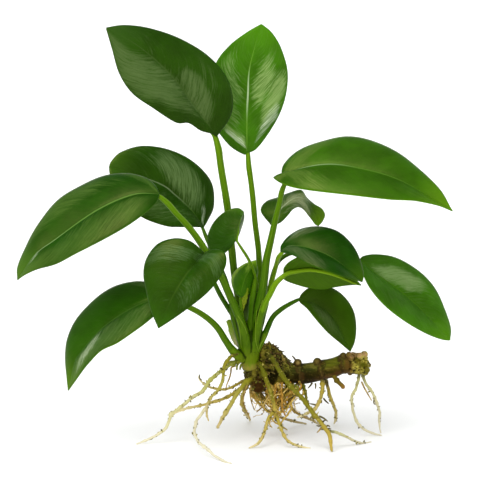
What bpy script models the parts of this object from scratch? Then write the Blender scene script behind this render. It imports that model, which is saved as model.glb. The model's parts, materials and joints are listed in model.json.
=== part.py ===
"""A bare-root anubias plant: leaf blades on long stems, the crown, the thick rhizome and the roots it stands on.

Places are measured as the plant is seen from the front, in millimetres: across from the crown, up from the
floor under it, and depth behind it. The line of sight dips by SIGHT_DIP, so seen() turns them into a place.
"""

from math import cos, radians, sin

import bmesh
import bpy
from mathutils import Vector

MM = 0.001
SIGHT_DIP = radians(13)

# What moves the origin under the middle of the whole plant.
MIDDLE_ACROSS = -7.5
MIDDLE_BEHIND = -0.8

# How far the leaves spread towards the viewer and away: their depths are multiplied by this.
LEAF_SPREAD = 1.4

# The air between two pieces that touch, and the thickness of a leaf.
GAP = 0.3
BLADE_THICKNESS = 0.8

# A blade's faces along it and across it, how its rows crowd towards the base, and how far its halves bulge.
BLADE_ROWS = 10
BLADE_COLUMNS = 6
ROW_CROWDING = 1.25
BULGE = 0.25

# The share of an edge's length that is left off at its ends, which gives the blade a width there.
BLUNT_SHARE = 0.012

# Spacing of the rings of a tube, and the bevel resolution that rounds a thin, a thick or a very thick one.
STEM_STEP = 9.5
SHEATH_STEP = 7.0
ROOT_STEP = 5.0
RHIZOME_STEP = 2.8
THIN_ROUNDING = 1
ROUNDING = 2
TRUNK_ROUNDING = 3
THICK_FROM = 2.9

# How much wider a stem is at the top of its sheath, and what the sheath gains on the way to its foot.
SHEATH_WIDENING = 1.12
SHEATH_FOOT_GAIN = 0.4

# How much of its width a root keeps at its tip.
ROOT_TIP_SHARE = 0.45

# A root that lies on the floor has its middle this share of its radius above it, and is flat below.
LYING_SHARE = 0.55

DARK_GREEN = (0.16, 0.35, 0.07)
MID_GREEN = (0.23, 0.45, 0.05)
BRIGHT_GREEN = (0.30, 0.53, 0.06)
STEM_GREEN = (0.36, 0.54, 0.06)
CROWN_GREEN = (0.42, 0.55, 0.18)
RHIZOME_BROWN = (0.27, 0.22, 0.09)
ROOT_CREAM = (0.80, 0.73, 0.46)
ROOT_TAN = (0.74, 0.58, 0.30)

# Each leaf: its midrib from base to tip, its left and right edge between them (left and right as its upper
# side is seen with the tip away), its colour, its stem from the crown to the blade, the stem's diameter at
# both ends, and the length of it in the sheath.
LEAVES = {
    "tall_left": {
        "midrib": [(-16.5, 151.5, 2), (-26, 164.5, 0), (-39.5, 182, -3), (-55, 196, -5), (-71.5, 205.5, -7)],
        "left": [(-19, 153, 1), (-24.5, 154.5, 0), (-30.5, 158.2, -3), (-37, 158.5, -6), (-48, 165.5, -9),
                 (-58.5, 173, -10), (-65, 183, -9), (-68.5, 195, -8)],
        "right": [(-10, 161, 4), (-8.5, 170.5, 5), (-12, 182, 6), (-21.5, 192.5, 6), (-35, 200.5, 4),
                  (-50, 205.5, 1), (-62.5, 207, -3)],
        "colour": DARK_GREEN,
        "stem": [(-1, 44, 1), (-4, 62, 3.5), (-6.5, 75, 5), (-8, 84, 5), (-9.5, 98.5, 4.5), (-11.5, 117.5, 4),
                 (-14.5, 136, 3), (-16.5, 151, 2)],
        "thick": (3.8, 2.8),
        "sheath": 20,
    },
    "tall_middle": {
        "midrib": [(-1.5, 143.5, 10), (-1.5, 161.5, 11), (-1, 173, 12), (0, 187, 13), (5.7, 208, 14)],
        "left": [(-3.5, 143, 11), (-11, 148, 13), (-18.5, 159, 16), (-20.5, 172, 17), (-17.5, 187.5, 16),
                 (-10.5, 197, 15), (-2, 203.5, 14)],
        "right": [(3, 145.5, 11), (9, 153, 12), (15, 163.5, 13), (18.2, 174, 13), (18.7, 185, 13),
                  (15.5, 196, 13), (11, 203.5, 14)],
        "colour": BRIGHT_GREEN,
        "stem": [(1.5, 44, 1), (3, 62, 3), (4, 72, 5), (4.8, 82, 6.5), (4.5, 90, 7), (4, 97, 8),
                 (2.5, 108.5, 8), (1, 124.5, 9), (-1.5, 143, 10)],
        "thick": (3.0, 2.6),
        "sheath": 22,
    },
    "upper_right": {
        "midrib": [(17, 131, -5), (23, 135, -5), (38, 137.7, -5), (53, 136, -6), (75, 129.5, -8),
                   (101, 114.5, -10)],
        "left": [(15.5, 134, -3), (17, 138.5, 0), (23.5, 144.5, 4), (34, 149, 7), (47.5, 152, 9), (61, 150, 8),
                 (75, 143.2, 4), (87, 133.5, -1), (95.5, 124.5, -6)],
        "right": [(11.5, 131.5, -7), (14.5, 129, -9), (20.5, 126.7, -13), (30, 125, -16), (49.5, 122.7, -19),
                  (69, 120.5, -18), (82.5, 119.7, -15), (93, 117.5, -12)],
        "colour": MID_GREEN,
        "stem": [(1.5, 44, -1), (4, 62, -3.5), (6.5, 76, -4.5), (8, 89.5, -5), (10, 98.5, -5),
                 (12.2, 108.5, -5), (15, 120, -5), (17, 130.5, -5)],
        "thick": (5.0, 2.6),
        "sheath": 40,
    },
    "curled": {
        "midrib": [(11, 107, 18), (15.5, 115, 20), (22, 120.5, 25), (28, 119.5, 31), (33, 113.5, 35),
                   (34.5, 107, 36)],
        "left": [(5.5, 113, 21), (7.5, 119, 25), (15, 123, 30), (22, 122, 34), (25, 116, 36), (29.5, 110.5, 37)],
        "right": [(15, 109, 18), (19, 113, 20), (24, 119, 22.5), (30, 121, 27), (36, 117.5, 31), (38, 113, 34)],
        "colour": DARK_GREEN,
        "stem": [(2, 46, 2), (5, 60, 8), (7, 72, 12), (8, 84, 14), (9.5, 96, 16), (11, 106.6, 17.8)],
        "thick": (2.4, 1.8),
        "sheath": 16,
    },
    "long_left": {
        "midrib": [(-45, 123, -16), (-58.5, 122.5, -17), (-76.5, 114.5, -18), (-97, 100, -19),
                   (-107, 92.5, -20), (-115.8, 80.2, -20)],
        "left": [(-46.5, 119, -19), (-52, 113.5, -23), (-61.5, 107, -27), (-73, 100.5, -29), (-84.5, 94.5, -29),
                 (-96, 88.5, -27), (-106, 85.5, -24), (-112, 82.7, -22)],
        "right": [(-47, 127, -13), (-51.5, 131, -9), (-61.5, 133.5, -6), (-73, 132.2, -4), (-84.5, 127.5, -4),
                  (-96, 120.2, -7), (-105.5, 108.5, -11), (-112, 96.5, -15), (-116, 86.5, -18)],
        "colour": MID_GREEN,
        "stem": [(-1, 42, -1), (-4, 57, -6), (-9, 69.5, -8), (-14, 81, -10), (-18.5, 88.5, -12), (-25, 99, -14),
                 (-31, 107, -15), (-37.5, 114, -15.5), (-44.5, 122.5, -16)],
        "thick": (4.2, 2.4),
        "sheath": 22,
    },
    "back_left": {
        "midrib": [(-23, 106.5, 14), (-29.5, 115, 14), (-37.5, 122.5, 14), (-46, 128.5, 14), (-70.5, 137, 12)],
        "left": [(-28.5, 106.5, 11), (-35.5, 106.5, 8), (-42, 107, 6), (-53, 111, 5), (-61, 117.5, 6),
                 (-67, 126, 8), (-70, 132.5, 10)],
        "right": [(-21, 110, 16), (-18, 117, 18), (-18.5, 127, 20), (-23, 134.5, 21), (-31.5, 141.5, 21),
                  (-42.5, 146, 20), (-54.5, 147.2, 18), (-64.5, 144.2, 15), (-69, 140, 13)],
        "colour": DARK_GREEN,
        "stem": [(-1, 46, 0), (-4.5, 58, 0.5), (-7, 65, 0.5), (-10, 73, 1), (-13, 82, 3), (-18, 93, 7),
                 (-21.5, 100, 10), (-23, 106, 13.5)],
        "thick": (2.8, 2.0),
        "sheath": 18,
    },
    "front": {
        "midrib": [(-22.5, 93.5, -27), (-30, 85, -32), (-38, 72.5, -35), (-45.5, 56.2, -35)],
        "left": [(-21, 94.7, -29), (-17, 95.5, -32), (-12.5, 93.7, -35), (-12, 88, -37), (-15.5, 80.7, -38),
                 (-22, 73.2, -38), (-31, 66, -37), (-39.5, 60, -36)],
        "right": [(-25.5, 96.5, -27), (-30.5, 100, -27), (-38, 101, -27), (-46, 98.2, -27), (-51.5, 91, -28),
                  (-53, 83, -30), (-51.5, 74, -32), (-49, 64.5, -34)],
        "colour": DARK_GREEN,
        "stem": [(-1, 44, 0), (-5, 56, -2.5), (-9, 63, -3.5), (-14, 71, -6), (-18, 79, -11), (-21, 87, -18),
                 (-22.5, 92.5, -25.5)],
        "thick": (3.0, 2.0),
        "sheath": 22,
    },
    "small_middle": {
        "midrib": [(-7.5, 100, -10), (-6, 105, -8), (-4.5, 110, -6), (-3.2, 114.2, -3)],
        "left": [(-10, 96, -9), (-15, 92.5, -7), (-20, 94, -5), (-21.3, 101, -5), (-18, 109, -5),
                 (-12, 114.5, -5), (-6, 116, -4)],
        "right": [(-5.5, 103, -4), (-3.8, 107, 0), (-2.8, 111, 0)],
        "colour": DARK_GREEN,
        "stem": [(1, 53, 0), (2.2, 60, 0), (3.2, 67, -0.6), (3.6, 75, -1.8), (2.5, 82.5, -3.2), (-0.4, 89.6, -5.4),
                 (-3.8, 95.2, -8), (-7.2, 99.5, -10)],
        "thick": (1.9, 1.4),
        "sheath": 12,
    },
    "low_left": {
        "midrib": [(-41, 71, -8.5), (-54, 68.5, -11), (-72.5, 57, -12), (-85, 43.5, -12), (-88, 37.5, -12),
                   (-91, 24.7, -11)],
        "left": [(-43, 66, -11), (-48, 62, -15), (-56, 56, -19), (-66, 49.2, -21), (-74.5, 45, -20),
                 (-81, 38.2, -17), (-86.5, 30.7, -14)],
        "right": [(-43, 75.5, -6), (-50, 78.7, -3), (-58, 79.5, -1), (-69, 76.5, 0), (-79, 69.5, -1),
                  (-87, 60.5, -3), (-91.5, 51, -6), (-92.7, 41, -8), (-92, 31, -10)],
        "colour": MID_GREEN,
        "stem": [(-1.5, 40, 0), (-7, 43, -3), (-11.5, 48.5, -4), (-17, 57, -5), (-25, 63.5, -6.5),
                 (-33, 67.5, -7.5), (-40.5, 70.8, -8.5)],
        "thick": (4.4, 2.2),
        "sheath": 11,
    },
    "middle_right": {
        "midrib": [(15, 94.5, -10), (20, 97, -12), (29, 96, -15), (42, 90.5, -17), (56, 79.2, -18)],
        "left": [(15.5, 97.5, -9), (19, 102, -8), (26, 106, -7), (35, 107, -7), (44, 104.5, -8), (50.5, 98.7, -10),
                 (54.5, 91.5, -13), (56.7, 83.5, -16)],
        "right": [(17, 93.7, -13), (22.5, 92, -19), (28, 89, -23), (35, 86, -25), (44, 82.7, -24), (51, 80.5, -21)],
        "colour": DARK_GREEN,
        "stem": [(1.5, 44, 0), (6, 60, 1.5), (8.5, 70, 2), (11, 80, 1), (13.2, 88, -3), (15, 94, -9.5)],
        "thick": (2.8, 2.0),
        "sheath": 20,
    },
    "turned_right": {
        "midrib": [(16.5, 83.5, -6), (20.5, 85, -5.5), (30.5, 86, -5), (42, 83.5, -6), (55.5, 77.5, -8)],
        "left": [(17, 80.5, -4), (21.5, 78.5, -2), (28.5, 76.5, 0), (36, 75.7, 0), (44, 77, -2), (51, 77.7, -5)],
        "right": [(17, 86.5, -7), (20.5, 90, -9), (27.5, 92.7, -10), (37.5, 91.7, -10), (46.5, 87, -10),
                  (52, 81.5, -9)],
        "colour": DARK_GREEN,
        "stem": [(1.5, 44, -1), (4.5, 58, -5.5), (7, 67, -7), (10.5, 74, -8), (13.5, 79.5, -7.5),
                 (16.3, 83, -6.3)],
        "thick": (3.2, 2.2),
        "sheath": 26,
    },
    "low_right": {
        "midrib": [(25, 70.5, 5), (34, 67.5, 9), (42.5, 60, 10), (50.5, 44, 7)],
        "left": [(26, 73, 7), (30, 76.2, 9), (36.5, 77.5, 12), (43.5, 75, 14), (49, 70, 15), (52.5, 63.5, 14),
                 (53.5, 56, 12), (52.7, 49, 9)],
        "right": [(25.5, 68.5, 5), (29, 65.5, 4), (33.5, 60, 3), (39, 54, 4), (45, 48.7, 6)],
        "colour": DARK_GREEN,
        "stem": [(1, 41, -1), (7.5, 53, -2), (11, 61, -1), (17, 66.3, 1.5), (24.6, 70.3, 4.8)],
        "thick": (3.4, 2.2),
        "sheath": 14,
    },
    "far_right": {
        "midrib": [(55, 90, 8), (64, 82.5, 8.5), (76.5, 73.5, 8.5), (88.5, 62.5, 7), (100.5, 49.8, 4)],
        "left": [(57, 92, 10), (63, 93, 13), (72, 91.7, 16), (80.5, 87.7, 17), (88, 82, 17), (94, 74.5, 15),
                 (98, 65.5, 12), (101, 56, 8)],
        "right": [(55.5, 87.5, 7), (56.7, 83, 4), (60, 76.5, 1), (65.5, 69.7, -1), (73, 63, -1), (81.5, 57, 0),
                  (90, 52.5, 2), (96.5, 50.2, 3)],
        "colour": BRIGHT_GREEN,
        "stem": [(1.5, 46, 1), (6, 60, 5), (9, 72, 8), (11.5, 82, 9.5), (17, 89, 10), (35, 94, 9), (54.5, 90, 8)],
        "thick": (2.8, 2.0),
        "sheath": 18,
    },
    "young": {
        "midrib": [(-5, 71.5, -4), (-4, 76, -4), (-2, 82, -4), (3, 90, -1.5)],
        "left": [(-7.5, 73.5, -3), (-9.2, 78, -1), (-9, 82, 0), (-6.5, 85.5, 0), (-2.5, 88.2, -1)],
        "right": [(-1.5, 72, -3), (1, 75, -2), (3, 79.5, -1), (4, 84.5, -1)],
        "colour": BRIGHT_GREEN,
        "stem": [(-1, 50, -1), (-2.5, 56, -3), (-4.3, 64, -4), (-5, 71, -4)],
        "thick": (2.2, 1.6),
        "sheath": 11,
    },
}

# The crown's own trunk and an old sheath on its left side: across, up, depth, radius.
CROWN = [(0, 33.8, 0, 2.0), (0, 36, 0, 3.4), (0, 40, 0, 4.2), (0, 46, 0, 4.4), (0.2, 54, 0, 4.6),
         (0.7, 62, 0, 4.7), (1.3, 69, 0, 4.0), (1.8, 75, 0, 2.2)]
OLD_SHEATH = [(-3, 45, 1, 1.8), (-7, 49, 2.5, 1.6), (-10.5, 55, 3.5, 1.2), (-11.5, 60, 3.5, 0.9)]

# The sheaths that reach down to where roots and old leaf bases are.
LOW_SHEATHS = ("low_left", "low_right")

# The rhizome from its growing end under the crown to its cut end.
RHIZOME = [(0.5, 31, 1.5, 3.0), (4, 29.5, 3, 4.3), (9, 31, 4, 5.0), (14, 33, 5, 5.2), (20, 33.2, 5, 5.2),
           (27.5, 33, 5, 5.1), (35, 34.5, 5, 5.0), (42, 36, 5, 4.8), (47.5, 37.8, 5, 4.8), (53.5, 38, 5, 5.4),
           (58.5, 36.5, 4.5, 4.6)]
RING_PLACES = (12, 20, 28, 36, 43, 50)
RING_HEIGHT = 0.5
RING_HALF_WIDTH = 2.2
RHIZOME_PLACES = {
    "old_leaf_bases": [(7.3, 48.5, 3.5, 2.0), (9.5, 46, 3.5, 2.8), (14, 41, 3.5, 3.6), (18, 36, 4.5, 3.0)],
    "cut_shoot": [(5, 29, 2, 3.0), (4.5, 27, -1, 3.4), (4.5, 26, -4, 3.2)],
    "end_callus": [(56, 37, 4.5, 3.6), (58.5, 35.5, 3, 3.4)],
}
BUDS = [(24, 38.6, 3.5, 2.1), (33.8, 39.3, 4, 2.2), (46.8, 42.2, 4, 2.0)]

# Each root: its route from what it grows from to its tip, its diameter at both ends, and what it grows from.
ROOTS = {
    "left_long": {
        "route": [(-4, 39.8, -1), (-6.5, 39.5, -2), (-12.5, 36, -4), (-20, 29.5, -5), (-24, 24, -6), (-29, 21, -6),
                  (-36, 15, -7), (-39.5, 12.7, -8), (-40.5, 9.5, -8), (-42, 6, -9), (-45, 3.5, -9.5), (-49, 1, -10),
                  (-53, -0.8, -10.5), (-57, -2.3, -11)],
        "thick": (2.5, 1.4),
        "grows_from": "crown",
    },
    "left_upper": {
        "route": [(-5.4, 43.5, -4.2), (-9, 42, -7), (-12.7, 37.5, -9), (-13.5, 32, -10), (-14.2, 28.5, -11),
                  (-16, 24.5, -12), (-19.2, 21.5, -13), (-21, 18.5, -14), (-22, 16, -15), (-21.5, 12.5, -16),
                  (-20.7, 9.2, -17)],
        "thick": (2.1, 1.4),
        "grows_from": "crown",
    },
    "left_branch": {
        "route": [(-21.3, 17.7, -14.5), (-23.5, 14, -16.5), (-25.7, 11, -18), (-27.5, 7, -22), (-27.5, 2.5, -27),
                  (-25, -1.5, -33), (-21, -4.5, -38), (-17.5, -7.5, -42), (-13, -10, -47), (-9, -11.5, -51)],
        "thick": (1.8, 1.4),
        "grows_from": "root_left_upper",
    },
    "left_hooked": {
        "route": [(-1, 30.3, 2.2), (-4.5, 28.8, 2), (-8.5, 26.5, 2.5), (-12.7, 25, 3), (-17.5, 25.5, 3), (-21, 26.5, 2),
                  (-24, 28.5, 1), (-25.7, 30.5, 1), (-25.5, 32.2, 1)],
        "thick": (1.6, 1.1),
        "grows_from": "rhizome",
    },
    "left_straight": {
        "route": [(-0.5, 28.5, 1), (-3.5, 26.5, -0.5), (-8.5, 23, -3), (-13, 20.5, -4), (-18, 19, -4.5),
                  (-23, 17.5, -6), (-27.5, 16.5, -7), (-32.2, 15.5, -9), (-38.5, 13, -11.5)],
        "thick": (2.0, 1.3),
        "grows_from": "rhizome",
    },
    "left_thick": {
        "route": [(1, 30.5, 0), (-0.5, 30, -4.5), (-3, 27.5, -6), (-6.5, 23, -8), (-10, 17, -10), (-13.5, 11.2, -12),
                  (-16.5, 5.5, -13)],
        "thick": (3.0, 2.2),
        "grows_from": "rhizome",
    },
    "back": {
        "route": [(-0.5, 29, 3.5), (-3.3, 23.5, 6.5), (-4.2, 18.5, 12), (-3, 15, 20), (-1.3, 11.5, 30), (0.3, 8.5, 38)],
        "thick": (2.2, 1.5),
        "grows_from": "rhizome",
    },
    "front": {
        "route": [(3.5, 38.5, -1.5), (5.5, 37, -4.5), (7.2, 33, -6), (9.5, 26.5, -8), (11.5, 20, -9), (12.5, 14, -10),
                  (12.6, 11.5, -10.6)],
        "thick": (2.6, 2.2),
        "grows_from": "crown",
    },
    "front_left": {
        "route": [(12.2, 14.5, -10), (10, 11.5, -11), (8.2, 7.5, -13), (7.2, 4, -15), (5.5, 0, -17), (3, -2.5, -18.5),
                  (-0.5, -4.2, -19.2)],
        "thick": (2.0, 1.8),
        "grows_from": "root_front",
    },
    "front_right": {
        "route": [(12.6, 13.5, -10), (14, 10, -11), (15.5, 5.5, -13), (17.5, 1.5, -16), (20.5, -1.5, -17.5),
                  (25.5, -3.5, -18.2), (30.5, -4.2, -18.8)],
        "thick": (1.9, 1.2),
        "grows_from": "root_front",
    },
    "long": {
        "route": [(7.5, 42.5, 1), (9, 42.5, -3), (11, 41, -5), (13, 37.5, -6), (15.5, 33.5, -8), (18, 29.5, -9),
                  (21, 26, -10), (25, 22, -12), (28.5, 17.5, -14), (31.7, 13, -17), (35, 9.5, -20),
                  (37.5, 6, -22), (39.5, 2.5, -24), (40.5, -1.5, -25.8), (41, -6, -27.3)],
        "thick": (2.8, 2.8),
        "grows_from": "rhizome",
    },
    "long_side": {
        "route": [(38.6, 4.6, -22.5), (44, 3.5, -20), (48, 1.5, -16), (52, -0.5, -13), (56, -1.8, -10),
                  (61, -1.4, -6.7)],
        "thick": (1.8, 1.2),
        "grows_from": "root_long",
    },
    "middle_hooked": {
        "route": [(36, 31, 3), (36.3, 28, 2), (36.3, 23.5, 1.5), (35, 19.5, 1), (32.2, 15, -2), (27.5, 12.5, -4),
                  (23.5, 11, -6)],
        "thick": (2.5, 1.8),
        "grows_from": "rhizome",
    },
    "middle_back": {
        "route": [(38, 31, 6), (39, 26, 7), (41, 19.5, 11), (43, 14.5, 17), (43.5, 10, 25), (42.5, 7.2, 31)],
        "thick": (2.1, 1.5),
        "grows_from": "rhizome",
    },
    "middle_short": {
        "route": [(26, 30.5, 4), (26.5, 27.5, 4), (28, 22.5, 5), (28.7, 18, 6), (30, 13.5, 8)],
        "thick": (2.0, 1.3),
        "grows_from": "rhizome",
    },
    "end_left": {
        "route": [(55, 35, 3.5), (54.5, 31, 3), (53.5, 26.5, 3), (51.5, 22, 2), (51, 18.5, 2), (52, 13.5, 3),
                  (53.5, 9, 4), (57.2, 5, 5), (62, 2.7, 6), (66.5, 1.7, 6.7)],
        "thick": (1.9, 1.3),
        "grows_from": "rhizome",
    },
    "end_right": {
        "route": [(56.5, 34.5, 5.5), (57, 30.5, 6), (58.5, 27.5, 6.5), (61.5, 23.5, 7), (63.5, 18.5, 8), (65, 14, 9),
                  (65, 9, 10), (65.5, 4.5, 11), (66, 2.7, 11.5)],
        "thick": (1.9, 1.2),
        "grows_from": "rhizome",
    },
    "tangle_left": {
        "route": [(3.5, 28.5, 2.5), (1.8, 24.5, 3.5), (3.2, 20, 5.5), (7.7, 15, 9.5), (12.5, 12, 15), (18, 9.7, 21),
                  (24, 8, 27), (29, 7.1, 31)],
        "thick": (1.8, 1.3),
        "grows_from": "rhizome",
    },
    "tangle_middle": {
        "route": [(18.5, 30, 5), (18.5, 26.5, 5), (16.5, 21.5, 5), (14, 17.5, 5), (12, 13.5, 4), (13.5, 9.5, 9),
                  (16.5, 6, 15), (19, 4.2, 18)],
        "thick": (1.9, 1.3),
        "grows_from": "rhizome",
    },
    "tangle_right": {
        "route": [(21.5, 30, 6), (21.5, 26.5, 7), (19.8, 21, 8.5), (21.5, 15, 12), (26, 11.5, 17), (31, 9.3, 24),
                  (35, 6.7, 29)],
        "thick": (2.0, 1.4),
        "grows_from": "rhizome",
    },
    "stub": {
        "route": [(41, 34, 2.5), (42.5, 31, 2), (45, 28.2, 0.5), (47.5, 25.5, -1)],
        "thick": (2.6, 2.6),
        "grows_from": "rhizome",
    },
}


def seen(across, up, depth):
    """The place, in millimetres, that is seen this far across, up and behind the crown."""
    height = (up - depth * sin(SIGHT_DIP)) / cos(SIGHT_DIP)
    return Vector((across - MIDDLE_ACROSS, depth - MIDDLE_BEHIND, height))


def on_leaf(across, up, depth):
    """The same for a point of a leaf or of its stem."""
    return seen(across, up, depth * LEAF_SPREAD)


def smooth_route(points, per_span=12):
    """A smooth curve through the points, which may carry a radius as their fourth number."""
    ends = [points[0] * 2 - points[1], *points, points[-1] * 2 - points[-2]]
    route = []
    for before, start, end, after in zip(ends, ends[1:], ends[2:], ends[3:]):
        for step in range(per_span):
            t = step / per_span
            route.append(
                (
                    start * 2
                    + (end - before) * t
                    + (before * 2 - start * 5 + end * 4 - after) * t**2
                    + (start * 3 - before - end * 3 + after) * t**3
                )
                / 2
            )
    return [*route, points[-1].copy()]


def lengths_along(route):
    """How far each point of the route lies along it."""
    total = 0.0
    lengths = [0.0]
    for start, end in zip(route, route[1:]):
        total += (end.to_3d() - start.to_3d()).length
        lengths.append(total)
    return lengths


def point_at(route, lengths, distance):
    """The point this far along the route."""
    for index in range(1, len(route)):
        if distance <= lengths[index] or index == len(route) - 1:
            span = lengths[index] - lengths[index - 1]
            return route[index - 1].lerp(route[index], (distance - lengths[index - 1]) / span)


def stretch(route, start, end, step):
    """Evenly spaced points of the route between two distances along it."""
    lengths = lengths_along(route)
    end = min(end, lengths[-1])
    count = max(2, round((end - start) / step))
    return [point_at(route, lengths, start + (end - start) * i / count) for i in range(count + 1)]


def tapered(points, thick):
    """The points with a radius as fourth number, going evenly from one diameter to the other."""
    last = len(points) - 1
    return [
        Vector((*point, (thick[0] + (thick[1] - thick[0]) * i / last) / 2))
        for i, point in enumerate(points)
    ]


def placed(points):
    """Measured points with their radii as places with their radii."""
    return [Vector((*seen(*point[:3]), point[3])) for point in points]


def new_collection(name):
    collection = bpy.data.collections.new(name)
    bpy.context.scene.collection.children.link(collection)
    return collection


def paint(thing, colour, roughness):
    """Gives an object a plain material of its own."""
    material = bpy.data.materials.new(thing.name)
    material.use_nodes = True
    shader = material.node_tree.nodes["Principled BSDF"]
    shader.inputs["Base Color"].default_value = (*[channel**2.2 for channel in colour], 1)
    shader.inputs["Roughness"].default_value = roughness
    thing.data.materials.append(material)


def tube(name, points, sides, collection):
    """A curve with a round section through points that carry their radius."""
    curve = bpy.data.curves.new(name, "CURVE")
    curve.dimensions = "3D"
    curve.bevel_depth = MM
    curve.bevel_resolution = sides
    curve.use_fill_caps = True
    spline = curve.splines.new("POLY")
    spline.points.add(len(points) - 1)
    for spot, point in zip(spline.points, points):
        spot.co = (*(point.to_3d() * MM), 1)
        spot.radius = point.w
    thing = bpy.data.objects.new(name, curve)
    collection.objects.link(thing)
    return thing


def as_mesh(thing):
    """The curve object's tube as a closed mesh object of the same name and place."""
    name = thing.name
    collection = thing.users_collection[0]
    graph = bpy.context.evaluated_depsgraph_get()
    mesh = bpy.data.meshes.new_from_object(thing.evaluated_get(graph))
    solid = bmesh.new()
    solid.from_mesh(mesh)
    bmesh.ops.remove_doubles(solid, verts=solid.verts, dist=1e-6)
    bmesh.ops.recalc_face_normals(solid, faces=solid.faces)
    solid.to_mesh(mesh)
    solid.free()
    mesh.shade_smooth()
    place = thing.matrix_world.copy()
    bpy.data.objects.remove(thing)
    result = bpy.data.objects.new(name, mesh)
    result.matrix_world = place
    collection.objects.link(result)
    return result


def hide_tool(thing):
    """Marks an object as a cutter or a filler, which is no part of the plant."""
    thing.hide_render = True
    thing.display_type = "WIRE"
    return thing


def combine(thing, other, operation):
    modifier = thing.modifiers.new(f"{operation.lower()} {other.name}", "BOOLEAN")
    modifier.operation = operation
    modifier.solver = "EXACT"
    modifier.object = other


def apply_modifiers(thing):
    """Makes what the modifiers give the object's own mesh."""
    graph = bpy.context.evaluated_depsgraph_get()
    mesh = bpy.data.meshes.new_from_object(thing.evaluated_get(graph))
    thing.modifiers.clear()
    thing.data = mesh


def widened(points, extra):
    return [Vector((*point.to_3d(), point.w + extra)) for point in points]


def edge_route(leaf, side):
    """One edge of the blade, from its base to its tip."""
    return smooth_route([on_leaf(*point) for point in (leaf["midrib"][0], *leaf[side], leaf["midrib"][-1])])


def shape_blade(leaf, mesh_points):
    """Moves the points of a flat square, from -1 to 1 each way, onto the leaf's blade."""
    routes = [smooth_route([on_leaf(*point) for point in leaf["midrib"]])]
    routes += [edge_route(leaf, side) for side in ("left", "right")]
    routes = [(route, lengths_along(route)) for route in routes]
    for point in mesh_points:
        along = ((point.co.y + 1) / 2) ** ROW_CROWDING
        blunted = min(max(along, BLUNT_SHARE), 1 - BLUNT_SHARE)
        across = abs(point.co.x)
        middle, left, right = [
            point_at(route, lengths, share * lengths[-1])
            for (route, lengths), share in zip(routes, (along, blunted, blunted))
        ]
        rib, lengths = routes[0]
        ahead = point_at(rib, lengths, min(along + 0.02, 1) * lengths[-1])
        behind = point_at(rib, lengths, max(along - 0.02, 0) * lengths[-1])
        upward = (right - left).cross(ahead - behind).normalized()
        edge = left if point.co.x < 0 else right
        bulge = BULGE * (across - across**2) * (edge - middle).length
        point.co = (middle.lerp(edge, across) + upward * bulge) * MM


def make_blade(name, leaf, collection):
    mesh = bpy.data.meshes.new("leaf_" + name)
    square = bmesh.new()
    bmesh.ops.create_grid(square, x_segments=BLADE_COLUMNS, y_segments=BLADE_ROWS, size=1)
    shape_blade(leaf, square.verts)
    square.to_mesh(mesh)
    square.free()
    mesh.shade_smooth()
    blade = bpy.data.objects.new("leaf_" + name, mesh)
    collection.objects.link(blade)
    thickness = blade.modifiers.new("thickness", "SOLIDIFY")
    thickness.thickness = BLADE_THICKNESS * MM
    thickness.offset = 0
    paint(blade, leaf["colour"], 0.35)


def rounding(thick):
    return ROUNDING if max(thick) >= THICK_FROM else THIN_ROUNDING


def stem_route(leaf):
    return tapered(smooth_route([on_leaf(*point) for point in leaf["stem"]]), leaf["thick"])


def sheath_points(leaf):
    """The part of a stem that clasps the crown, wider towards its foot."""
    points = stretch(stem_route(leaf), 0, leaf["sheath"], SHEATH_STEP)
    last = len(points) - 1
    for i, point in enumerate(points):
        point.w *= SHEATH_WIDENING + SHEATH_FOOT_GAIN * (1 - i / last)
    return points


def make_stem(name, leaf, plant, tools):
    """The free part of a stem, which is a piece of its own, and the space that the crown leaves for it."""
    route = stem_route(leaf)
    length = lengths_along(route)[-1]
    free = stretch(route, leaf["sheath"] + GAP, length - GAP, STEM_STEP)
    stem = tube("stem_" + name, free, rounding(leaf["thick"]), plant)
    paint(stem, STEM_GREEN, 0.4)
    space = tube("clear_of_stem_" + name, widened(free, GAP), rounding(leaf["thick"]), tools)
    return hide_tool(as_mesh(space))


def make_crown(spaces, plant, tools):
    """The trunk with every sheath fused to it."""
    trunk = stretch(smooth_route(placed(CROWN)), 0, 1000, SHEATH_STEP)
    crown = as_mesh(tube("crown", trunk, TRUNK_ROUNDING, plant))
    sheaths = {"sheath_" + name: sheath_points(leaf) for name, leaf in LEAVES.items()}
    sheaths["old_sheath"] = stretch(smooth_route(placed(OLD_SHEATH)), 0, 1000, SHEATH_STEP)
    for name, points in sheaths.items():
        combine(crown, hide_tool(as_mesh(tube(name, points, ROUNDING, tools))), "UNION")
    for space in spaces:
        combine(crown, space, "DIFFERENCE")
    apply_modifiers(crown)
    crown.data.shade_smooth()
    paint(crown, CROWN_GREEN, 0.45)
    return crown


def ringed(points):
    """The rhizome's points with its leaf scars as low rings."""
    lengths = lengths_along(points)
    ringed_points = []
    for point, along in zip(points, lengths):
        nearest = min(abs(along - ring) for ring in RING_PLACES)
        rise = RING_HEIGHT * max(0, 1 - nearest / RING_HALF_WIDTH)
        ringed_points.append(Vector((*point.to_3d(), point.w + rise)))
    return ringed_points


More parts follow.
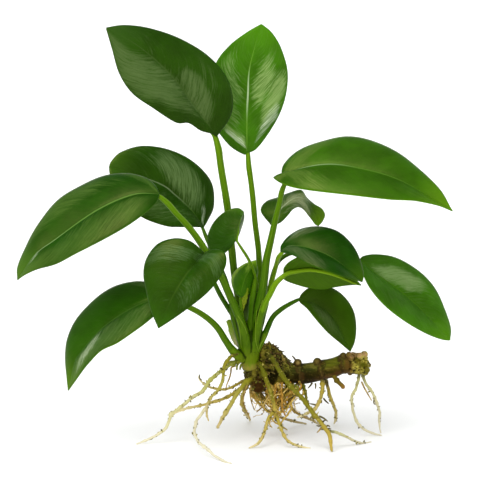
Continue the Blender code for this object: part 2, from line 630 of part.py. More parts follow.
def make_rhizome(plant, tools):
    """The thick stem with its rings, its buds, the remains of old leaves and the callus on its cut end."""
    body = ringed(stretch(smooth_route(placed(RHIZOME)), 0, 1000, RHIZOME_STEP))
    rhizome = as_mesh(tube("rhizome", body, TRUNK_ROUNDING, plant))
    for name, points in RHIZOME_PLACES.items():
        lump = stretch(smooth_route(placed(points)), 0, 1000, RHIZOME_STEP * 1.5)
        combine(rhizome, hide_tool(as_mesh(tube(name, lump, ROUNDING, tools))), "UNION")
    for number, (across, up, depth, radius) in enumerate(BUDS, 1):
        mesh = bpy.data.meshes.new(f"bud_{number}")
        ball = bmesh.new()
        bmesh.ops.create_icosphere(ball, subdivisions=1, radius=radius * MM)
        bmesh.ops.translate(ball, verts=ball.verts, vec=seen(across, up, depth) * MM)
        ball.to_mesh(mesh)
        ball.free()
        bud = bpy.data.objects.new(mesh.name, mesh)
        tools.objects.link(bud)
        combine(rhizome, hide_tool(bud), "UNION")
    apply_modifiers(rhizome)
    rhizome.data.shade_smooth()
    paint(rhizome, RHIZOME_BROWN, 0.6)
    return rhizome


def make_clearances(tools):
    """Slightly larger copies of what roots grow from, which keep the roots clear of it."""
    shapes = {
        "crown": [stretch(smooth_route(placed(CROWN)), 0, 1000, SHEATH_STEP)],
        "rhizome": [ringed(stretch(smooth_route(placed(RHIZOME)), 0, 1000, RHIZOME_STEP))],
    }
    for name in LOW_SHEATHS:
        shapes["crown"].append(sheath_points(LEAVES[name]))
    for points in RHIZOME_PLACES.values():
        shapes["rhizome"].append(stretch(smooth_route(placed(points)), 0, 1000, RHIZOME_STEP * 1.5))
    clearances = {}
    for name, tubes in shapes.items():
        clearances[name] = []
        for number, points in enumerate(tubes):
            rounded = TRUNK_ROUNDING if number == 0 else ROUNDING
            cutter = tube(f"clear_of_{name}_{number}", widened(points, GAP), rounded, tools)
            clearances[name].append(hide_tool(as_mesh(cutter)))
    return clearances


def make_floor(tools):
    """A slab below the floor, which flattens the undersides of the roots that lie on it."""
    mesh = bpy.data.meshes.new("floor")
    slab = bmesh.new()
    bmesh.ops.create_cube(slab, size=1)
    bmesh.ops.scale(slab, verts=slab.verts, vec=(0.4, 0.4, 0.02))
    bmesh.ops.translate(slab, verts=slab.verts, vec=(0, 0, -0.01))
    slab.to_mesh(mesh)
    slab.free()
    floor = bpy.data.objects.new("floor", mesh)
    tools.objects.link(floor)
    return hide_tool(floor)


def root_points(root):
    """The root's points, kept out of the floor, with their radii and a tip that narrows."""
    route = tapered(smooth_route([seen(*point) for point in root["route"]]), root["thick"])
    points = stretch(route, 0, 1000, ROOT_STEP)
    points[-1].w *= ROOT_TIP_SHARE
    for point in points:
        point.z = max(point.z, LYING_SHARE * point.w)
    return points


def make_root(name, root, clearances, floor, plant, tools):
    points = root_points(root)
    solid = as_mesh(tube("root_" + name, points, rounding(root["thick"]), plant))
    for cutter in clearances[root["grows_from"]]:
        combine(solid, cutter, "DIFFERENCE")
    if min(point.z - point.w for point in points) < 0:
        combine(solid, floor, "DIFFERENCE")
    paint(solid, ROOT_CREAM if max(root["thick"]) > 2 else ROOT_TAN, 0.6)
    if any(other["grows_from"] == "root_" + name for other in ROOTS.values()):
        cutter = tube("clear_of_root_" + name, widened(points, GAP), rounding(root["thick"]), tools)
        clearances["root_" + name] = [hide_tool(as_mesh(cutter))]


def main():
    for thing in list(bpy.data.objects):
        bpy.data.objects.remove(thing)
    plant = new_collection("anubias_plant")
    tools = new_collection("cutters")
    spaces = []
    for name, leaf in LEAVES.items():
        make_blade(name, leaf, plant)
        spaces.append(make_stem(name, leaf, plant, tools))
    crown = make_crown(spaces, plant, tools)
    rhizome = make_rhizome(plant, tools)
    clearances = make_clearances(tools)
    for cutter in clearances["crown"]:
        combine(rhizome, cutter, "DIFFERENCE")
    floor = make_floor(tools)
    for name, root in ROOTS.items():
        make_root(name, root, clearances, floor, plant, tools)
    print(len(plant.objects), "pieces, crown of", len(crown.data.polygons), "faces")


main()
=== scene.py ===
# %% [markdown]
# # A bare-root anubias plant
#
# Anubias is a water plant with thick, leathery leaves. Its leaves stand on long stems that clasp a short
# crown. The crown grows from a rhizome, a thick stem that creeps sideways, and the roots hang from both.
# This one has bare roots and stands on their tips.
#
# The solid model of the plant is already there. It says where each leaf, stem and root is, and this lesson
# dresses it: each solid gets a finer piece in its place, with veins, sheaths, rings, hairs and colour.

import json
from math import cos, exp, pi, radians, sin, tau
from random import Random

import bmesh
import bpy
from mathutils import Matrix, Vector, noise
from mathutils.bvhtree import BVHTree


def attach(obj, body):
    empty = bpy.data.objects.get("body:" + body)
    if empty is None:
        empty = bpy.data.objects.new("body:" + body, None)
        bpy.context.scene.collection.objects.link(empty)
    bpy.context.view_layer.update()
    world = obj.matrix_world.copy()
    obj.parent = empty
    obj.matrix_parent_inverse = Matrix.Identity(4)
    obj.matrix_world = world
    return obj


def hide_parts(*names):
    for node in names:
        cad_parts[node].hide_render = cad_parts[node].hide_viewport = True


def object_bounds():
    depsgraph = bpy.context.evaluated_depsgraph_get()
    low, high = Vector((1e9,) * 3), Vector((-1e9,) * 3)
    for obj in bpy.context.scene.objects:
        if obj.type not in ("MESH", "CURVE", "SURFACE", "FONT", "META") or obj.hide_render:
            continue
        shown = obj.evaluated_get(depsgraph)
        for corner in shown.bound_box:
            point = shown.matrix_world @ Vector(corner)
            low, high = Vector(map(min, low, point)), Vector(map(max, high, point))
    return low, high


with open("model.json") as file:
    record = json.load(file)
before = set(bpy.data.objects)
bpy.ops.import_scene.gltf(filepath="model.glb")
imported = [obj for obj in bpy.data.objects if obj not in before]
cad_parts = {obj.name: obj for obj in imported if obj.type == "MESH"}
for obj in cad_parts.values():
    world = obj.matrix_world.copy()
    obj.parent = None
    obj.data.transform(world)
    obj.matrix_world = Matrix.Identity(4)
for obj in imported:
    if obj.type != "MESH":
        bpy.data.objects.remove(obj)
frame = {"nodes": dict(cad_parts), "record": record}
CAD_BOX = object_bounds()
SLOTS = {part["node"]: part["material_slot"] for part in frame["record"]["subparts"]}
print(len(frame["nodes"]), "solids in a box from", CAD_BOX[0], "to", CAD_BOX[1])

# %% [markdown]
# ## Where things are
#
# The plant was measured as it is seen from the front: how far a point lies across from the crown, how far
# up from the floor under it, and how far behind it. The line of sight dips a little, so a point that lies
# further back looks higher up than it is. One function takes that out again, and every place in this lesson
# goes through it. The leaves spread further to the front and the back than the first guess of their depth,
# so theirs is multiplied.

# %% Measured points as places
MM = 0.001
SIGHT_DIP = radians(13)
MIDDLE_ACROSS = -7.5
MIDDLE_BEHIND = -0.8
LEAF_SPREAD = 1.4


def seen(across, up, depth):
    """The place, in millimetres, that is seen this far across, up and behind the crown."""
    height = (up - depth * sin(SIGHT_DIP)) / cos(SIGHT_DIP)
    return Vector((across - MIDDLE_ACROSS, depth - MIDDLE_BEHIND, height))


def on_leaf(across, up, depth):
    """The same for a point of a leaf or of its stem."""
    return seen(across, up, depth * LEAF_SPREAD)


print("what is seen 100 mm up, 20 mm behind the crown, stands", round(seen(0, 100, 20).z, 1), "mm high")

# %% [markdown]
# ## The camera
#
# A long lens from far away shows a plant without bending its proportions. The camera looks down by the same
# small angle as the measurements were made at, so a millimetre at the crown is two pixels of the picture.

# %% Camera
PICTURE_PIXELS = 480
PIXELS_PER_MM = 2
PICTURE_MIDDLE = (-5, 100, 0)
SENSOR = 36
CAMERA_DISTANCE = 5.0
FARTHEST_SEEN = 20


def add_object(name, data):
    """Puts a mesh, a lamp or a camera into the scene."""
    made = bpy.data.objects.new(name, data)
    bpy.context.scene.collection.objects.link(made)
    return made


camera = add_object("camera", bpy.data.cameras.new("camera"))
bpy.context.scene.camera = camera
camera.data.sensor_width = SENSOR
camera.data.lens = SENSOR * PIXELS_PER_MM / MM * CAMERA_DISTANCE / PICTURE_PIXELS
camera.data.clip_end = FARTHEST_SEEN
sight = Vector((0, cos(SIGHT_DIP), -sin(SIGHT_DIP)))
camera.location = seen(*PICTURE_MIDDLE) * MM - sight * CAMERA_DISTANCE
camera.rotation_euler = (pi / 2 - SIGHT_DIP, 0, 0)
print("lens of", round(camera.data.lens), "mm,", CAMERA_DISTANCE, "m away")

# %% [markdown]
# ## Colours and shader sums
#
# A finish is built from shader nodes. Written one by one they are hard to read, so a small class wraps a
# socket and turns the arithmetic signs into Math nodes: `1 - mask` then makes a Subtract node.

# %% Sums of sockets
SCREEN_GAMMA = 2.2


def rgb(red, green, blue):
    """A colour picked on a screen, from 0 to 255, as the light it stands for."""
    return (*[(channel / 255) ** SCREEN_GAMMA for channel in (red, green, blue)], 1)


def times(colour, factor):
    """A screen colour that is this many times as strong."""
    return [channel * factor for channel in colour]


class Wire:
    """A socket that can be added, multiplied and compared like a number."""

    def __init__(self, wiring, socket):
        self.wiring = wiring
        self.socket = socket

    def maths(self, operation, first, second=None):
        """A Math node between two values or wires."""
        return self.wiring.node("ShaderNodeMath", {"operation": operation}, {0: first, 1: second})

    def __add__(self, other):
        return self.maths("ADD", self, other)

    def __sub__(self, other):
        return self.maths("SUBTRACT", self, other)

    def __rsub__(self, other):
        return self.maths("SUBTRACT", other, self)

    def __mul__(self, other):
        return self.maths("MULTIPLY", self, other)

    def __truediv__(self, other):
        return self.maths("DIVIDE", self, other)

    def __pow__(self, power):
        return self.maths("POWER", self, power)

    def __gt__(self, other):
        return self.maths("GREATER_THAN", self, other)

    def __abs__(self):
        return self.maths("ABSOLUTE", self)

    __radd__ = __add__
    __rmul__ = __mul__

    def wave(self, kind="COSINE"):
        """The cosine, or the sine, of as many turns as this says."""
        return self.maths(kind, self * tau)


print("a mid grey of the screen is", round(rgb(128, 128, 128)[0], 2), "of full light")

# %% [markdown]
# ## Nodes and finishes
#
# A second class holds the nodes of one finish, or of the room, and has one method that makes any kind of
# node. A third adds what a finish needs: the places that a pattern can follow, noise, and coats of colour.
# A colour is laid on in coats, as by a painter. Each coat has a mask, which says where it covers what lies
# below it.

# %% Nodes


class Wiring:
    """A tree of shader nodes, and one way to add any node to it."""

    def __init__(self, tree):
        self.tree = tree

    def node(self, kind, settings=None, sockets=None, output=0):
        """Makes a node with its settings and the values or wires of its sockets. Gives one output."""
        made = self.tree.nodes.new(kind)
        for name, value in (settings or {}).items():
            setattr(made, name, value)
        for name, value in (sockets or {}).items():
            if isinstance(value, Wire):
                self.tree.links.new(value.socket, made.inputs[name])
            elif value is not None:
                made.inputs[name].default_value = value
        return Wire(self, made.outputs[output])

    def apart(self, vector):
        """The three numbers of a vector."""
        split = self.node("ShaderNodeSeparateXYZ", sockets={0: vector}).socket.node
        return [Wire(self, number) for number in split.outputs]

    def rise(self, value, low, high):
        """Goes softly from 0 to 1 while the value goes from low to high, which may also be the way down."""
        sockets = {"Value": value, "From Min": low, "From Max": high}
        return self.node("ShaderNodeMapRange", {"interpolation_type": "SMOOTHSTEP"}, sockets)

    def oval(self, across, along, edge):
        """1 in the middle of an oval, and 0 from where the sum of the squares reaches its edge."""
        return self.rise(across * across + along * along, edge, 0.0)


# %% Finishes
FLAT_MAP = "flat"


class Skin(Wiring):
    """One material, made of a Principled BSDF and what leads to it."""

    def __init__(self, name, **constants):
        self.material = bpy.data.materials.new(name)
        self.material.use_nodes = True
        super().__init__(self.material.node_tree)
        self.shader = self.tree.nodes["Principled BSDF"]
        for socket, value in constants.items():
            self.shader.inputs[socket.replace("_", " ")].default_value = value

    def flat_map(self):
        """How far round or across a point lies on its piece, and how far along, both from 0 to 1."""
        return self.apart(self.node("ShaderNodeUVMap", {"uv_map": FLAT_MAP}))[:2]

    def written(self, name):
        """A number that is written on each point of the mesh."""
        return self.node("ShaderNodeAttribute", {"attribute_name": name}, output="Fac")

    def place(self):
        """Where a point lies, in metres."""
        return self.node("ShaderNodeTexCoord", output="Object")

    def squeezed(self, scale):
        """Where a point lies, with each direction made longer or shorter."""
        return self.node("ShaderNodeMapping", sockets={"Vector": self.place(), "Scale": scale})

    def away_from(self, spot):
        """How many millimetres a point lies from this spot."""
        sockets = {0: self.place(), 1: spot * MM}
        return self.node("ShaderNodeVectorMath", {"operation": "DISTANCE"}, sockets, output="Value") / MM

    def vector(self, x, y, z):
        """Three numbers as one vector."""
        return self.node("ShaderNodeCombineXYZ", sockets={0: x, 1: y, 2: z})

    def cloud(self, vector, scale, detail=3.0, roughness=0.5):
        """A noise from 0 to 1."""
        sockets = {"Vector": vector, "Scale": scale, "Detail": detail, "Roughness": roughness}
        return self.node("ShaderNodeTexNoise", sockets=sockets)

    def blend(self, factor, first, second):
        """The first colour where the factor is 0, the second where it is 1, as wires or from a screen."""
        first, second = [colour if isinstance(colour, Wire) else rgb(*colour) for colour in (first, second)]
        return self.node("ShaderNodeMix", {"data_type": "RGBA"}, {0: factor, 6: first, 7: second}, output=2)

    def coats(self, colour, *coats):
        """Lays coats over a colour, one after the other. Each is a mask and its own colour."""
        for mask, coat in coats:
            colour = self.blend(mask, colour, coat)
        return colour

    def steps(self, value, first, *stops):
        """The first colour, and then each next one while the value goes from a start to an end."""
        return self.coats(first, *[(self.rise(value, start, end), coat) for start, end, coat in stops])

    def finish(self, colour, roughness, height=None, depth_mm=0.0, strength=1.0):
        """Leads the colour, the roughness and the relief to the shader."""
        self.tree.links.new(colour.socket, self.shader.inputs["Base Color"])
        self.tree.links.new(roughness.socket, self.shader.inputs["Roughness"])
        if height:
            sockets = {"Strength": strength, "Distance": depth_mm * MM, "Height": height}
            relief = self.node("ShaderNodeBump", sockets=sockets)
            self.tree.links.new(relief.socket, self.shader.inputs["Normal"])
        return self.material


# %% [markdown]
# ## Floor and light
#
# The plant stands on a white table in front of white paper. A large plain floor that reaches far back does
# for both. A painted shadow greys its paper round the foot of the plant, where the leaves and roots keep
# the light away, and the paper glows faintly of its own, which lightens the shadows on it.
#
# The light comes from big soft lamps far away, which light the whole floor evenly. The main one hangs above
# and a little to the front left, and the leaves mirror it as broad pale sheens, which show that they are
# leathery. The other two only fill the shadows. The room is dark at middle height, because the leaves
# mirror that part of it, and a bright one would lie over their green as a grey veil.

# %% Floor
FLOOR_SIZE = 40.0
PAPER_WHITE = (246.7, 246.7, 246.7)
PAPER_SHADOW_GREY = (233, 233, 233)
PAPER_ROUGHNESS = 0.85
SHADOW_MIDDLE = seen(30, 2, 10)
SHADOW_REACH = (75, 95)

slab = bmesh.new()
bmesh.ops.create_grid(slab, x_segments=1, y_segments=1, size=FLOOR_SIZE / 2)
floor_mesh = bpy.data.meshes.new("floor")
slab.to_mesh(floor_mesh)
slab.free()
floor = add_object("floor", floor_mesh)
# The paper glows faintly of its own, which lightens every shadow on it.
paper = Skin("white_paper", Specular_IOR_Level=0.0, Emission_Strength=0.05)
x, y, _ = paper.apart(paper.place())
# A painted shadow greys the paper in an oval round the plant's foot.
sideways = (x / MM - SHADOW_MIDDLE.x) / SHADOW_REACH[0]
lengthways = (y / MM - SHADOW_MIDDLE.y) / SHADOW_REACH[1]
painted_shadow = paper.oval(sideways, lengthways, 1.0)
paper.finish(paper.blend(painted_shadow, PAPER_WHITE, PAPER_SHADOW_GREY), painted_shadow * 0.05 + PAPER_ROUGHNESS)
floor_mesh.materials.append(paper.material)
floor.visible_glossy = False
print("a floor of", FLOOR_SIZE, "m, greyer over", SHADOW_REACH, "mm round the plant's foot")

# %% Lamps
LAMPS = {
    "softbox": {"towards": (-0.21, -0.37, 0.91), "degrees": 44, "strength": 1.5, "mirrored": True},
    "front_fill": {"towards": (-0.2, -0.95, 0.35), "degrees": 80, "strength": 1.2, "mirrored": False},
    "dome": {"towards": (0, 0.05, 1), "degrees": 170, "strength": 2.4, "mirrored": False},
}


def add_lamp(name, towards, degrees, strength, mirrored):
    """A far lamp that fills this much of the sky. One that isn't mirrored gives the leaves no sheen."""
    light = bpy.data.lights.new(name, "SUN")
    light.angle = radians(degrees)
    light.energy = strength
    lamp = add_object(name, light)
    lamp.rotation_euler = Vector(towards).to_track_quat("Z", "Y").to_euler()
    lamp.visible_glossy = mirrored


for name, lamp in LAMPS.items():
    add_lamp(name, **lamp)
print(len(LAMPS), "lamps")

# %% Room
DARK_WALL = 0.03
FRONT_WALL = 0.12
BACK_WALL = 0.5
CEILING = 0.2

world = bpy.data.worlds.new("white_room")
bpy.context.scene.world = world
world.use_nodes = True
room = Wiring(world.node_tree)
_, back, up = room.apart(room.node("ShaderNodeTexCoord", output="Generated"))
wall = (1 - room.rise(up, 0.3, 0.6)) * (FRONT_WALL + BACK_WALL * room.rise(back, -0.2, 0.5))
brightness = DARK_WALL + wall + CEILING * room.rise(up, 0.9, 0.98)
background = world.node_tree.nodes["Background"]
background.inputs["Color"].default_value = (1, 1, 1, 1)
world.node_tree.links.new(brightness.socket, background.inputs["Strength"])
bpy.context.scene.view_settings.view_transform = "Standard"
print("walls between", DARK_WALL, "and", DARK_WALL + FRONT_WALL + BACK_WALL, "of full brightness")

# %% [markdown]
# ## Smooth routes
#
# A stem, a root or the edge of a leaf is drawn through a few points. A Catmull-Rom curve goes smoothly
# through all of them. It is cut into even steps afterwards, because the faces of a tube should be of about
# equal length.

# %% Curves through measured points


def smooth_route(points, per_span=12):
    """A smooth curve through the points, which may carry a radius as their fourth number."""
    ends = [points[0] * 2 - points[1], *points, points[-1] * 2 - points[-2]]
    route = []
    for before, start, end, after in zip(ends, ends[1:], ends[2:], ends[3:]):
        for step in range(per_span):
            t = step / per_span
            square = (before * 2 - start * 5 + end * 4 - after) * t**2
            cube = (start * 3 - before - end * 3 + after) * t**3
            route.append((start * 2 + (end - before) * t + (square + cube)) / 2)
    return [*route, points[-1].copy()]


def lengths_along(route):
    """How far each point of the route lies along it."""
    total = 0.0
    lengths = [0.0]
    for start, end in zip(route, route[1:]):
        total += (end.to_3d() - start.to_3d()).length
        lengths.append(total)
    return lengths


def point_at(route, lengths, distance):
    """The point this far along the route."""
    for index in range(1, len(route)):
        if distance <= lengths[index] or index == len(route) - 1:
            span = lengths[index] - lengths[index - 1]
            return route[index - 1].lerp(route[index], (distance - lengths[index - 1]) / span)


def stretch(route, step, start=0, end=None):
    """Evenly spaced points of the route between two distances along it, or from the first to its end."""
    lengths = lengths_along(route)
    end = min(end or lengths[-1], lengths[-1])
    count = max(2, round((end - start) / step))
    return [point_at(route, lengths, start + (end - start) * i / count) for i in range(count + 1)]


def drawn(points, step):
    """An even, smooth route through measured points that carry their radius."""
    return stretch(smooth_route([Vector((*seen(*point[:3]), point[3])) for point in points]), step)


def tapered(points, thick):
    """The points with a radius as fourth number, going evenly from one diameter to the other."""
    last = len(points) - 1
    return [
        Vector((*point, (thick[0] + (thick[1] - thick[0]) * i / last) / 2))
        for i, point in enumerate(points)
    ]


corner = smooth_route([seen(0, 0, 0), seen(10, 0, 0), seen(10, 10, 0)])
print("a corner of 10 mm a side, rounded, is", round(lengths_along(corner)[-1], 1), "mm long")

# %% [markdown]
# ## Rolling a sheet into a tube
#
# Every long part of the plant is a flat grid that is rolled up along a route. A grid brings its own map of
# flat places, in which a pattern can later follow the piece however it bends. The crosswise directions are
# carried along the route from ring to ring, so that the tube doesn't twist. Both ends draw together in a
# dome.

# %% Rolled tubes
ROUND_END = ((0.0, 0.95), (0.5, 0.8), (0.85, 0.45))
SOME_SIDE = Vector((0.3, 1, 0.2))


def round_ended(points):
    """The points with a dome of three smaller ones in place of each end."""
    domes = []
    for end, inner in ((points[0], points[1]), (points[-1], points[-2])):
        out = (end.to_3d() - inner.to_3d()).normalized()
        dome = []
        for share, reach in ROUND_END:
            dome.append(Vector((*(end.to_3d() - out * end.w * (1 - reach)), end.w * share)))
        domes.append(dome)
    return [*domes[0], *points[1:-1], *reversed(domes[1])]


def ring_frames(points):
    """Two crosswise directions for each point of a route, carried along it without a twist."""
    frames = []
    side = None
    for index in range(len(points)):
        before = points[max(index - 1, 0)].to_3d()
        after = points[min(index + 1, len(points) - 1)].to_3d()
        ahead = (after - before).normalized()
        side = side or ahead.cross(SOME_SIDE)
        side = (side - ahead * side.dot(ahead)).normalized()
        frames.append((side, ahead.cross(side)))
    return frames


def roll(work, points, sides, shape=None):
    """Adds a tube through points that carry their radius. The shape says how it varies round and along."""
    points = round_ended(points)
    rings = len(points) - 1
    frames = ring_frames(points)
    grid = bmesh.ops.create_grid(work, x_segments=sides, y_segments=rings, size=1, calc_uvs=True)
    for vert in grid["verts"]:
        ring = round((vert.co.y + 1) / 2 * rings)
        angle = pi * vert.co.x
        side, other = frames[ring]
        radius = points[ring].w * (shape(angle, points[ring]) if shape else 1)
        vert.co = (points[ring].to_3d() + (side * cos(angle) + other * sin(angle)) * radius) * MM


# %% Pieces
WELD = 1e-7


def new_sheet():
    """An empty mesh under work, with the map of flat places."""
    work = bmesh.new()
    work.loops.layers.uv.new(FLAT_MAP)
    return work


def as_piece(work, name, skins, node=None, slot=None):
    """Turns the mesh under work into a piece that takes the place of a solid or is one more."""
    bmesh.ops.remove_doubles(work, verts=work.verts, dist=WELD)
    # No point leaves the box of the solids.
    for vert in work.verts:
        vert.co = [min(max(co, low), high) for co, low, high in zip(vert.co, *CAD_BOX)]
    mesh = bpy.data.meshes.new(name)
    work.to_mesh(mesh)
    work.free()
    mesh.shade_smooth()
    for skin in skins:
        mesh.materials.append(skin)
    piece = add_object(name, mesh)
    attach(piece, "root")
    slot or SLOTS[node]
    if node:
        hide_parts(node)
    return piece
